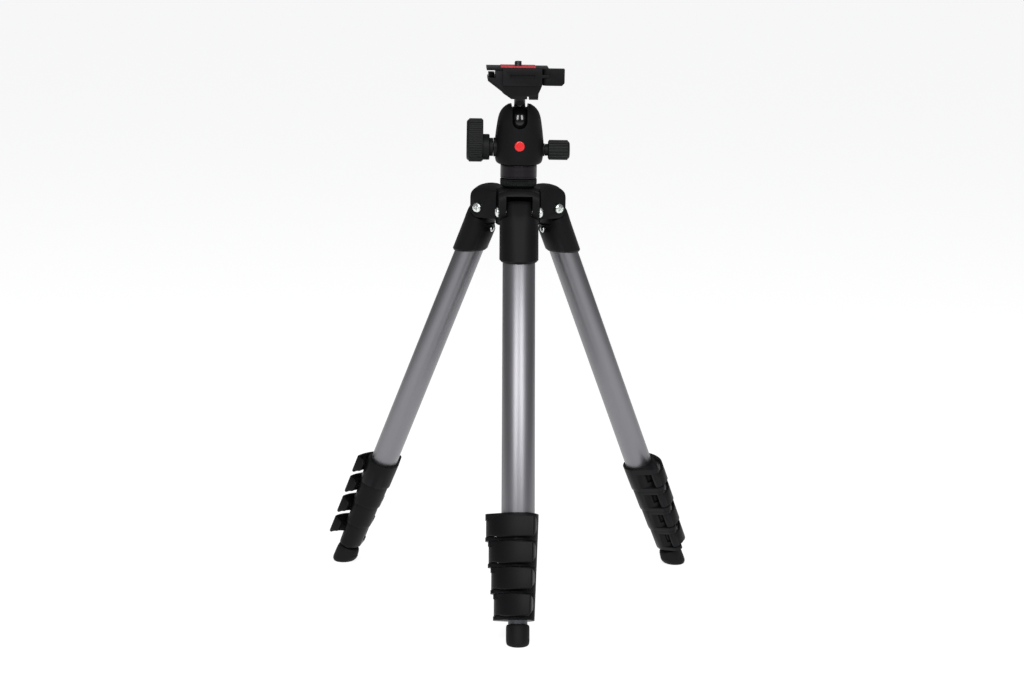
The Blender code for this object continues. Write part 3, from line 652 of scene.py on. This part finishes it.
def cross_screw(radius, height, dome):
    """A domed screw head along Z from 0, with a cross recess in its top."""
    rim = [(0.0, radius), (height - dome, radius)]
    rim += [(height - dome * (1.0 - math.sin(a)), radius * math.cos(a) * 0.98 + 0.02 * radius)
            for a in np.radians((20.0, 40.0, 58.0, 72.0))]
    head = draft(turned(rim, 48))
    arm, half = radius * 0.62, radius * 0.13
    cuts = [block((-arm, -half, height * 0.45), (arm, half, height + 1 * MM)),
            block((-half, -arm, height * 0.45), (half, arm, height + 1 * MM))]
    carve(head, cuts)
    return soften(head, radius * 0.03, 2, 40.0)


clamp_screw = cross_screw(2.6 * MM, 3.0 * MM, 1.4 * MM)
screw_face = Matrix.Translation((0.0, 10.6 * MM, -16.0 * MM)) @ Matrix.Rotation(-math.pi / 2, 4, "X")
clamp_screw.data.transform(screw_face)
on_each_leg(clamp_screw, "casting_screw", "{leg}", "zinc_screw", None, ZINC)

# %% [markdown]
# ## Crown and pivot bolts
#
# The crown is a hub with three yokes. Each yoke is its side view lofted from one side to
# the other, lower at both ends, so its top is domed. Its slot and bolt holes are cut with
# Booleans, which stay crisp for the bevel that follows.

# %% Crown
pivot = (PIVOT_RADIUS, PIVOT_Z)
dome = [(12.0, 341.2), (17.0, 341.3), (20.0, 341.6), (22.5, 342.2), (25.0, 342.8), (28.0, 342.9),
        (30.5, 342.6), (32.5, 342.0), (34.0, 341.0), (35.2, 339.5), (35.9, 337.7), (36.2, 335.0)]
BEND_HEIGHT = 14.0 * MM
side = [(x * MM, z * MM) for x, z in dome] + arc(pivot, (7.15 * MM, 8.3 * MM), 0.0, -90.0)
side += [(12.0 * MM, PIVOT_Z - 8.3 * MM)]


def domed_lobe(half=16.3 * MM, fall=3.0 * MM, count=21):
    """A yoke whose top falls away towards both sides."""
    rows = []
    for across in np.linspace(-half, half, count):
        drop = fall * (abs(across) / half) ** 2.35
        share = [min(1.0, max(0.0, (z - PIVOT_Z) / BEND_HEIGHT)) for x, z in side]
        rows.append(np.array([(x, across, z - drop * part) for (x, z), part in zip(side, share)]))
    return shell(rows)


hub = [(310.5, 17.6), (311.5, 18.6), (340.4, 18.6), (341.2, 17.8)]
crown = draft(turned([(z * MM, radius * MM) for z, radius in hub]))
lobes, cuts = [], []
for azimuth in LEG_AZIMUTH.values():
    lobe = domed_lobe()
    slot = block((19 * MM, -10.7 * MM, 300 * MM), (50 * MM, 10.7 * MM, 337.5 * MM))
    hole = bar(2.7 * MM, -30 * MM, 30 * MM, "y", (PIVOT_RADIUS, 0.0, PIVOT_Z))
    for part in (lobe, slot, hole):
        bmesh.ops.transform(part, matrix=Matrix.Rotation(math.radians(azimuth), 4, "Z"), verts=part.verts)
    lobes.append(lobe)
    cuts += [slot, hole]
cuts.append(bar(10.6 * MM, 300 * MM, 360 * MM, "z", count=96))
carve(crown, lobes, "UNION")
carve(crown, cuts)
soften(crown, 0.7 * MM, 3)
put(crown, "crown", "crown_unit", "casting", ["crown"], COAT)

# %% Pivot bolts
for side_name in LEG_AZIMUTH:
    node = "pivot_bolt_" + side_name
    shank = draft(bar(2.4 * MM, -16.7 * MM, 16.7 * MM, "x"))
    heads = []
    for sign in (-1.0, 1.0):
        head = cross_screw(4.0 * MM, 3.0 * MM, 1.7 * MM)
        head.data.transform(Matrix.Translation((sign * 16.6 * MM, 0.0, 0.0)) @
                            Matrix.Rotation(sign * math.pi / 2, 4, "Y") @ Matrix.Rotation(0.6, 4, "Z"))
        tool = bmesh.new()
        tool.from_mesh(head.data)
        bpy.data.objects.remove(head, do_unlink=True)
        heads.append(tool)
    carve(shank, heads, "UNION")
    put(shank, node, "crown_unit", "zinc_screw", [node], ZINC, leg_matrix(side_name))
print("crown and bolts")

# %% [markdown]
# ## Ribs made with Geometry Nodes
#
# Fingers need ribs on every knob and ring. A rib is one rounded bar, and the ribs follow
# a closed path, so a small node tree does the work: it resamples the path, puts a bar on
# every point, turned to lie along a given axis, makes the copies real and gives them their
# material. The same tree serves a round knob, an eccentric one and the column's ring.


# %% Rib tree
def rib_tree(material):
    """A node group that sets bars along a closed path of edges."""
    tree = bpy.data.node_groups.new("ribs_along_path", "GeometryNodeTree")
    face = tree.interface
    for name, kind in (("Path", "Geometry"), ("Count", "Int"), ("Length", "Float"), ("Radius", "Float"),
                       ("Axis", "Vector")):
        face.new_socket(name, in_out="INPUT", socket_type="NodeSocket" + kind)
    face.new_socket("Geometry", in_out="OUTPUT", socket_type="NodeSocketGeometry")
    bench = Bench(tree)
    given = tree.nodes.new("NodeGroupInput")
    value = {socket.name: Wire(bench, socket) for socket in given.outputs}
    curve = bench.add("GeometryNodeMeshToCurve", {}, {"Mesh": value["Path"]})
    points = bench.add("GeometryNodeResampleCurve", {}, {"Curve": curve, "Count": value["Count"]})
    dots = bench.add("GeometryNodeCurveToPoints", {"mode": "EVALUATED"}, {"Curve": points})
    bar_mesh = bench.add("GeometryNodeMeshCylinder", {}, {"Vertices": 10, "Radius": value["Radius"],
                                                         "Depth": value["Length"]})
    turn = bench.add("FunctionNodeAlignRotationToVector", {"axis": "Z"}, {"Vector": value["Axis"]})
    copies = bench.add("GeometryNodeInstanceOnPoints", {},
                       {"Points": dots, "Instance": bar_mesh, "Rotation": turn})
    real = bench.add("GeometryNodeRealizeInstances", {}, {"Geometry": copies})
    done = bench.add("GeometryNodeSetMaterial", {}, {"Geometry": real, "Material": material})
    bench.add("NodeGroupOutput", {}, {"Geometry": done})
    return tree


def grow(obj, tree, values):
    """Run a node group on an object with its inputs set, and keep what it makes."""
    modifier = obj.modifiers.new(tree.name, "NODES")
    modifier.node_group = tree
    for item in tree.interface.items_tree:
        if item.in_out == "INPUT" and item.name in values:
            modifier[item.identifier] = values[item.name]
    return settle(obj)


def ribs(path, tree, count, length, radius, axis):
    """Real ribs along a closed outline of points, as an object without modifiers."""
    bm = bmesh.new()
    corners = [bm.verts.new(point) for point in path]
    for k, corner in enumerate(corners):
        bm.edges.new((corner, corners[(k + 1) % len(corners)]))
    values = {"Count": count, "Length": length, "Radius": radius, "Axis": axis}
    return grow(draft(bm, "ribs"), tree, values)


RIBS = rib_tree(SOFT)
print("rib tree:", len(RIBS.nodes), "nodes")

# %% [markdown]
# ## Column, lock ring and base
#
# The column is a tube with a plug in its lower end. The ring above the crown clamps it
# and has shallow ribs between two rims. The head's base is turned aluminium with a fine
# groove near each edge.

# %% Column
bore, outside = 8.9 * MM, 10.2 * MM
column = draft(shell([ring(outside, outside, z) for z in (105 * MM, 348.8 * MM)] +
                     [ring(bore, bore, z) for z in (348.8 * MM, 105 * MM)], hollow=True))
put(soften(column, 0.3 * MM, 2), "centre_column", "column", "column_tube", ["centre_column"], COLUMN)
rows = [(105.4, 7.9), (105.9, 8.6), (110.0, 8.8), (120.0, 8.7)]
plug = draft(turned([(z * MM, radius * MM) for z, radius in rows]))
put(plug, "column_end_plug", "column", "plastic", [], PLASTIC)

# %% Lock ring and head base
clamp_bore = 10.6 * MM
rows = [(341.8, 13.2), (342.6, 14.0), (343.5, 14.9), (344.3, 15.1), (344.6, 14.7), (347.5, 14.7),
        (347.7, 15.1), (348.2, 15.25), (348.6, 14.85)]
rows = [(z * MM, radius * MM) for z, radius in rows]
rows = [(rows[0][0], clamp_bore)] + rows + [(rows[-1][0], clamp_bore)]
loops = [ring(radius, radius, z) for z, radius in rows]
collar = draft(shell(loops, hollow=True))
put(soften(collar, 0.15 * MM, 2), "column_lock_ring", "column_ring", "plastic", ["column_lock_ring"], SOFT)
path = ring(14.7 * MM, 14.7 * MM, 346.05 * MM, 144)
grips = ribs(path, RIBS, 48, 2.7 * MM, 0.45 * MM, (0, 0, 1))
put(grips, "column_ring_ribs", "column_ring", "plastic", [], SOFT)
rows = [(349.1, 14.5), (349.5, 15.0), (350.3, 15.05), (350.45, 14.8), (350.7, 14.8), (350.85, 15.05),
        (359.0, 15.05), (359.15, 14.8), (359.4, 14.8), (359.55, 15.05), (359.9, 15.0), (360.2, 14.6)]
base = draft(turned([(z * MM, radius * MM) for z, radius in rows], 128))
put(base, "head_base", "column", "ring", ["head_base"], DARK_RING)
print("column, ring and base")

# %% [markdown]
# ## Ball head
#
# The housing is a smooth bell. Its half width is known at a few heights, and a curve
# through them gives as many rings as the surface needs. The depth is capped, because
# the front and back are flatter than the sides. The ball's seat, the round mouth and the
# notch in front are cut afterwards.

# %% Housing
BELL = [(360.5, 15.9), (361.0, 17.2), (362.4, 18.8), (365.0, 19.6), (370.0, 20.2), (374.0, 20.35),
        (379.0, 20.2), (382.6, 19.8), (388.0, 19.2), (393.0, 18.5), (397.4, 17.8), (401.0, 16.9),
        (403.6, 15.8), (405.8, 14.4), (408.0, 12.2), (409.3, 10.3), (409.9, 9.3)]
BALL_Z = 396.0 * MM
BALL_RADIUS = 12.7 * MM
SEAT_RADIUS = 13.1 * MM
BALL_KNOB_Z = 374.2 * MM
PAN_KNOB_Z = 372.4 * MM


def through(points, count):
    """More points on a smooth curve through the given ones (Catmull-Rom, even in length)."""
    line = np.array(points, dtype=float)
    ends = np.vstack([2 * line[0] - line[1], line, 2 * line[-1] - line[-2]])
    out = []
    for a, b, c, d in zip(ends, ends[1:], ends[2:], ends[3:]):
        for share in np.linspace(0.0, 1.0, 9)[:-1]:
            out.append(0.5 * (2 * b + (c - a) * share + (2 * a - 5 * b + 4 * c - d) * share ** 2
                              + (3 * b - a - 3 * c + d) * share ** 3))
    out = np.array(out + [line[-1]])
    run = np.concatenate([[0.0], np.cumsum(np.linalg.norm(np.diff(out, axis=0), axis=1))])
    even = np.linspace(0.0, run[-1], count)
    return np.column_stack([np.interp(even, run, out[:, k]) for k in range(out.shape[1])])


rows = through(BELL, 72) * MM
housing = draft(shell([ring(half, min(half, 17.6 * MM), z, 128) for z, half in rows]))
seat = [(BALL_Z + SEAT_RADIUS * math.sin(a), SEAT_RADIUS * math.cos(a))
        for a in np.radians(np.linspace(-86, 86, 44))]
notch = arc((0.0, BALL_Z + 0.7 * MM), 6.2 * MM, 180.0, 360.0) + [(6.2 * MM, 0.42), (-6.2 * MM, 0.42)]
saddle = [(-6.4 * MM, 406.6 * MM), (6.4 * MM, 406.6 * MM), (7.4 * MM, 420 * MM), (-7.4 * MM, 420 * MM)]
carve(housing, [bar(7.8 * MM, -21.0 * MM, -14.0 * MM, "x", (0, 0, BALL_KNOB_Z)),
                bar(5.3 * MM, 14.0 * MM, 21.0 * MM, "x", (0, 0, PAN_KNOB_Z))], "UNION")
carve(housing, [turned(seat, 96), bar(8.3 * MM, BALL_Z, 0.42, count=96), prism(notch, -30 * MM, 0.0, "xzy"),
                prism(saddle, -30 * MM, 30 * MM, "xzy"),
                bar(3.3 * MM, -30 * MM, -15.2 * MM, "x", (0, 0, BALL_KNOB_Z)),
                bar(3.3 * MM, 15.2 * MM, 30 * MM, "x", (0, 0, PAN_KNOB_Z))])
soften(housing, 0.7 * MM, 4, 40.0)
put(housing, "head_body", "head", "casting", ["head_body"], COAT)

# %% Badge, ball and stem
badge = draft(turned_along([(-0.4 * MM, 4.05 * MM), (0.25 * MM, 4.05 * MM), (0.42 * MM, 3.85 * MM),
                            (0.5 * MM, 3.1 * MM), (0.56 * MM, 1.4 * MM)], "z"))
face = Matrix.Translation((0.0, -17.45 * MM, 376.6 * MM)) @ Matrix.Rotation(math.pi / 2, 4, "X")
badge.data.transform(face)
put(badge, "head_badge", "head", "casting", [], RED_ENAMEL)
rows = [(BALL_RADIUS * math.sin(a), BALL_RADIUS * math.cos(a)) for a in np.radians(np.linspace(-88, 66, 56))]
rows += [(z * MM, radius * MM) for z, radius in
         ((12.0, 4.8), (12.6, 4.65), (18.7, 4.65), (19.0, 4.4), (19.0, 3.0), (26.3, 3.0), (26.5, 2.7))]
stem = draft(turned(rows))
put(stem, "ball_stem", "ball", "ball", ["ball_stem"], GLOSS, HEAD @ Matrix.Translation((0, 0, BALL_Z)))

# %% [markdown]
# ## Knobs
#
# The large knob locks the ball. It is a lobed disc, the hull of a large circle and a
# small one, so the thumb can lean on it. The small knob locks the pan. Both have ribs
# that run along the knob's axis all round the rim.


# %% Ball-lock knob
def lobed(wider=0.0, small=8.5 * MM, large=12.3 * MM, rise=15.0 * MM):
    """Side view of the large knob: the hull of two circles."""
    tilt = math.degrees(math.asin((large - small) / rise))
    line = arc((0.0, rise), small + wider, tilt, 180.0 - tilt, 32)
    return line + arc((0.0, 0.0), large + wider, 180.0 - tilt, 360.0 + tilt, 64)[:-1]


knob_rings = []
for x, wider in ((-43.2, -3.0), (-42.9, -2.2), (-42.0, -1.2), (-41.2, -0.75), (-30.4, -0.75),
                 (-29.8, -1.0), (-29.6, -1.5)):
    knob_rings.append(np.array([(x * MM, a, b) for a, b in lobed(wider * MM)]))
knob = draft(shell(knob_rings))
rows = [(-30.0, 10.6), (-24.9, 10.6), (-24.3, 10.0), (-24.3, 7.5), (-21.6, 7.5), (-21.3, 7.2),
        (-21.3, 3.0), (-15.6, 3.0)]
carve(knob, [turned_along([(x * MM, radius * MM) for x, radius in rows], "x")], "UNION")
soften(knob, 0.2 * MM, 2, 40.0)
put(knob, "ball_lock_knob", "ball_knob", "plastic", ["ball_lock_knob"], SOFT,
    HEAD @ Matrix.Translation((0, 0, BALL_KNOB_Z)))
path = [(-35.9 * MM, a, b + BALL_KNOB_Z) for a, b in lobed(-0.65 * MM)]
grips = ribs(path, RIBS, 52, 10.4 * MM, 0.62 * MM, (1, 0, 0))
put(grips, "ball_lock_knob_ribs", "ball_knob", "plastic", [], SOFT)

# %% Pan-lock knob
rows = [(15.6, 3.0), (21.3, 3.0), (21.3, 4.9), (23.9, 4.9), (23.9, 7.1), (24.4, 7.6), (39.8, 7.6),
        (40.9, 7.0), (41.7, 5.8)]
knob = draft(turned_along([(x * MM, radius * MM) for x, radius in rows], "x"))
soften(knob, 0.2 * MM, 2)
put(knob, "pan_lock_knob", "pan_knob", "plastic", ["pan_lock_knob"], SOFT,
    HEAD @ Matrix.Translation((0, 0, PAN_KNOB_Z)))
path = [(32.3 * MM, a, b + PAN_KNOB_Z) for a, b in arc((0.0, 0.0), 7.45 * MM, 0.0, 360.0, 96)[:-1]]
grips = ribs(path, RIBS, 18, 15.4 * MM, 0.8 * MM, (1, 0, 0))
put(grips, "pan_lock_knob_ribs", "pan_knob", "plastic", [], SOFT)
print("head and knobs")

# %% [markdown]
# ## Quick-release clamp
#
# The clamp is a die casting with a wedge-shaped flank on the left, so its front view is
# extruded from front to back. The pocket is dovetailed on the side of the fixed jaw.
# The lever on the right front turns a cam under the plate's edge.

# %% Clamp body
side = [(-26.4, 432.3), (-26.7, 431.2), (-26.7, 429.8), (-15.5, 421.4), (-14.2, 419.9), (-9.8, 416.9),
        (-7.5, 415.3), (5.4, 415.3), (5.4, 417.4), (14.5, 417.4), (14.6, 419.9), (16.2, 423.4),
        (17.3, 426.2), (17.3, 438.0), (-20.5, 438.0), (-20.5, 432.3)]
side = [(x * MM, z * MM) for x, z in side]
clamp = draft(prism(side, -20.3 * MM, 20.5 * MM, "xzy"))
JAW = (22.2 * MM, -16.8 * MM)
JAW_RADIUS = 4.6 * MM
lug = [(12.0 * MM, JAW[1] + JAW_RADIUS), (12.0 * MM, JAW[1] - JAW_RADIUS)] + arc(JAW, JAW_RADIUS, -90.0, 90.0)
carve(clamp, [block((-14.5 * MM, -21.5 * MM, 426.2 * MM), (17.3 * MM, -18.9 * MM, 439.9 * MM)),
              block((7.0 * MM, -19.5 * MM, 414.9 * MM), (14.4 * MM, -8.5 * MM, 418.0 * MM)),
              prism(lug, 432.8 * MM, 435.4 * MM),
              block((17.0 * MM, -11.6 * MM, 426.6 * MM), (21.4 * MM, -4.0 * MM, 437.9 * MM))], "UNION")
pocket = [(-15.5, 431.8), (-17.9, 434.4), (-20.9, 438.6), (-20.9, 450), (13.0, 450), (13.0, 431.8)]
carve(clamp, [prism([(x * MM, z * MM) for x, z in pocket], -18.9 * MM, 18.8 * MM, "xzy"),
              block((-8.8 * MM, -30 * MM, 431.9 * MM), (11.4 * MM, -19.9 * MM, 435.2 * MM)),
              bar(3.3 * MM, 410 * MM, 422.8 * MM), bar(2.1 * MM, 420 * MM, 440 * MM, "z", (*JAW, 0.0))])
soften(clamp, 0.45 * MM, 3)
put(clamp, "plate_clamp", "clamp", "casting", ["plate_clamp"], COAT)
catch = draft(block((-26.2 * MM, -8.0 * MM, 432.2 * MM), (-21.2 * MM, 8.0 * MM, 435.8 * MM)))
put(soften(catch, 0.5 * MM, 3), "clamp_catch", "clamp", "casting", [], PLASTIC)

# %% Clamp lever
end = 13.4 * MM
plan = arc((0.0, 0.0), JAW_RADIUS, 90.0, 270.0) + [(end, -JAW_RADIUS), (end, JAW_RADIUS)]
lever = draft(prism(plan, 426.5 * MM, 440.2 * MM))
corner = [(end - 3.0 * MM, 425.5 * MM), (end + 1.0 * MM, 425.5 * MM), (end + 1.0 * MM, 430.0 * MM)]
gap = JAW_RADIUS + 0.25 * MM
fork = prism(arc((0.0, 0.0), gap, -90.0, 90.0) + [(-gap - 1.0 * MM, gap), (-gap - 1.0 * MM, -gap)],
             432.65 * MM, 435.55 * MM)
carve(lever, [prism(corner, -JAW_RADIUS - 1.0 * MM, JAW_RADIUS + 1.0 * MM, "xzy"), fork])
carve(lever, [bar(1.8 * MM, 429.3 * MM, 437.2 * MM)], "UNION")
soften(lever, 0.55 * MM, 4)
lever_place = Matrix.Translation((*JAW, 0.0))
put(lever, "clamp_lever", "clamp_lever", "plastic", ["clamp_lever"], PLASTIC, HEAD @ lever_place)

# %% [markdown]
# ## Camera plate, pad and screw
#
# The plate is a thin flange on a body that drops into the clamp. The pad is soft red
# rubber, so that a camera does not twist. The screw has a real
# thread: a small four-sided profile swept along a helix by Geometry Nodes.

# %% Plate and pad
notch_y = JAW[1] + JAW_RADIUS + 0.3 * MM
flange = [(-27.7 * MM, -18.6 * MM), (17.3 * MM, -18.6 * MM), (17.3 * MM, notch_y), (22.8 * MM, notch_y),
          (22.8 * MM, 16.6 * MM), (-27.7 * MM, 16.6 * MM)]
plate = draft(prism(flange, 438.3 * MM, 440.4 * MM))
under = [(-15.0, 432.1), (12.7, 432.1), (12.7, 438.6), (-20.5, 438.6), (-17.5, 434.5)]
carve(plate, [prism([(x * MM, z * MM) for x, z in under], -18.6 * MM, 18.5 * MM, "xzy")], "UNION")
hole_x = -1.8 * MM
carve(plate, [bar(7.0 * MM, 430 * MM, 435.2 * MM, "z", (hole_x, 0, 0)),
              bar(3.5 * MM, 430 * MM, 450 * MM, "z", (hole_x, 0, 0))])
put(soften(plate, 0.4 * MM, 3), "camera_plate", "plate", "plate", ["camera_plate"], COAT)
pad = draft(block((-16.2 * MM, -15.0 * MM, 440.3 * MM), (12.5 * MM, 12.0 * MM, 441.2 * MM)))
carve(pad, [bar(3.5 * MM, 430 * MM, 450 * MM, "z", (hole_x, 0, 0))])
put(soften(pad, 0.3 * MM, 3), "grip_pad", "plate", "plate", [], RED_PAD)


# %% Camera screw
def thread_tree(material):
    """A node group that sweeps a small profile along a helix."""
    tree = bpy.data.node_groups.new("screw_thread", "GeometryNodeTree")
    face = tree.interface
    for name in ("Turns", "Radius", "Height", "Depth"):
        face.new_socket(name, in_out="INPUT", socket_type="NodeSocketFloat")
    face.new_socket("Geometry", in_out="OUTPUT", socket_type="NodeSocketGeometry")
    bench = Bench(tree)
    given = tree.nodes.new("NodeGroupInput")
    value = {socket.name: Wire(bench, socket) for socket in given.outputs}
    helix = bench.add("GeometryNodeCurveSpiral", {},
                      {"Resolution": 48, "Rotations": value["Turns"], "Start Radius": value["Radius"],
                       "End Radius": value["Radius"], "Height": value["Height"]})
    profile = bench.add("GeometryNodeCurvePrimitiveCircle", {}, {"Resolution": 4, "Radius": value["Depth"]})
    sweep = bench.add("GeometryNodeCurveToMesh", {},
                      {"Curve": helix, "Profile Curve": profile, "Fill Caps": True})
    real = bench.add("GeometryNodeRealizeInstances", {}, {"Geometry": sweep})
    done = bench.add("GeometryNodeSetMaterial", {}, {"Geometry": real, "Material": material})
    bench.add("NodeGroupOutput", {}, {"Geometry": done})
    return tree


rows = [(432.4, 6.0), (432.8, 6.6), (434.4, 6.6), (434.8, 6.2), (434.8, 2.7), (444.4, 2.7), (445.0, 2.2)]
screw = draft(turned([(z * MM, radius * MM) for z, radius in rows], 64))
carve(screw, [block((-5.5 * MM, -0.7 * MM, 432.0 * MM), (5.5 * MM, 0.7 * MM, 433.4 * MM))])
screw_place = HEAD @ Matrix.Translation((hole_x, 0, 0))
put(soften(screw, 0.15 * MM, 2), "camera_screw", "screw", "dark_screw", ["camera_screw"], BLACK_STEEL,
    screw_place)
values = {"Turns": 7.0, "Radius": 2.6 * MM, "Height": 8.4 * MM, "Depth": 0.5 * MM}
thread = grow(draft(bmesh.new(), "thread"), thread_tree(BLACK_STEEL), values)
thread.data.transform(Matrix.Translation((0, 0, 436.0 * MM)))
put(thread, "camera_screw_thread", "screw", "dark_screw", [], BLACK_STEEL, screw_place)
print("clamp, plate and screw")

# %% [markdown]
# ## Floor, light and camera
#
# The object is dark, so the studio is bright and plain. A wide pale floor runs far back
# and glows a little: its emission is painted light that stands in for paper lit from all over.
# The glow is painted shade in front of the tripod, half as bright there, so the rear tubes,
# which mirror that part, stay darker than the front one. Two tall soft lights hang in front
# and above, and a weaker one right overhead.

# %% Floor
floor_mesh = bpy.data.meshes.new("studio_floor")
far = 40.0
floor_mesh.from_pydata([(-far, -far, 0), (far, -far, 0), (far, far, 0), (-far, far, 0)], [], [(0, 1, 2, 3)])
floor = bpy.data.objects.new("studio_floor", floor_mesh)
bpy.context.scene.collection.objects.link(floor)
paper = bpy.data.materials.new("pale_paper")
paper.use_nodes = True
paper.node_tree.nodes.clear()
bench = Bench(paper.node_tree)
spot = bench.add("ShaderNodeTexCoord", output="Object")
fibre = bench.noise(spot, 30.0, 4.0)
shade = bench.tint((0.34, 0.34, 0.34, 1.0), (0.36, 0.36, 0.36, 1.0), fibre)
along = bench.add("ShaderNodeSeparateXYZ", {}, {"Vector": spot}, 1)
# painted light: the floor glows, and the glow fades to half in front of the tripod, a painted shade that the
# rear tubes mirror
painted_floor_glow = bench.tint((0.50, 0.50, 0.50, 1.0), (1.0, 1.0, 1.0, 1.0), bench.limit((along + 1.7) / 1.4))
surface = bench.add("ShaderNodeBsdfPrincipled", {},
                    {"Base Color": shade, "Roughness": 0.9, "Specular IOR Level": 0.1,
                     "Emission Color": painted_floor_glow, "Emission Strength": 0.84})
bench.add("ShaderNodeOutputMaterial", {}, {"Surface": surface})
floor_mesh.materials.append(paper)


# %% Lights
def soft_light(name, size, power, place, aim):
    lamp = bpy.data.lights.new(name, "AREA")
    lamp.shape = "RECTANGLE"
    lamp.size, lamp.size_y = size
    lamp.energy = power
    obj = bpy.data.objects.new(name, lamp)
    bpy.context.scene.collection.objects.link(obj)
    obj.location = Vector(place)
    obj.rotation_euler = (Vector(aim) - Vector(place)).to_track_quat("-Z", "Y").to_euler()
    return obj


soft_light("front_softbox_left", (0.5, 1.4), 27.0, (-0.6, -2.0, 1.58), (0, 0, 0.2))
soft_light("front_softbox_right", (0.5, 1.4), 27.0, (0.7, -1.95, 1.58), (0, 0, 0.2))
soft_light("top_softbox", (1.8, 1.8), 9.0, (0.0, 0.2, 2.4), (0, 0, 0.1))
world = bpy.data.worlds.new("studio")
world.use_nodes = True
world.node_tree.nodes["Background"].inputs["Color"].default_value = (0.92, 0.93, 0.95, 1.0)
world.node_tree.nodes["Background"].inputs["Strength"].default_value = 0.25
bpy.context.scene.world = world
bpy.context.scene.view_settings.view_transform = "Standard"

# %% Camera
CAMERA_PLACE = Vector((-66.76 * MM, -2110.95 * MM, 588.09 * MM)) + AXIS
HEADING, PITCH, ROLL = (math.radians(v) for v in (1.725, 10.104, 0.9134))
camera_data = bpy.data.cameras.new("camera")
camera_data.sensor_width = 36.0
camera_data.lens = 2572.0 / 1024.0 * 36.0
camera = bpy.data.objects.new("camera", camera_data)
bpy.context.scene.collection.objects.link(camera)
camera.matrix_world = (Matrix.Translation(CAMERA_PLACE) @ Matrix.Rotation(-HEADING, 4, "Z") @
                       Matrix.Rotation(math.pi / 2 - PITCH, 4, "X") @ Matrix.Rotation(ROLL, 4, "Z"))
bpy.context.scene.camera = camera
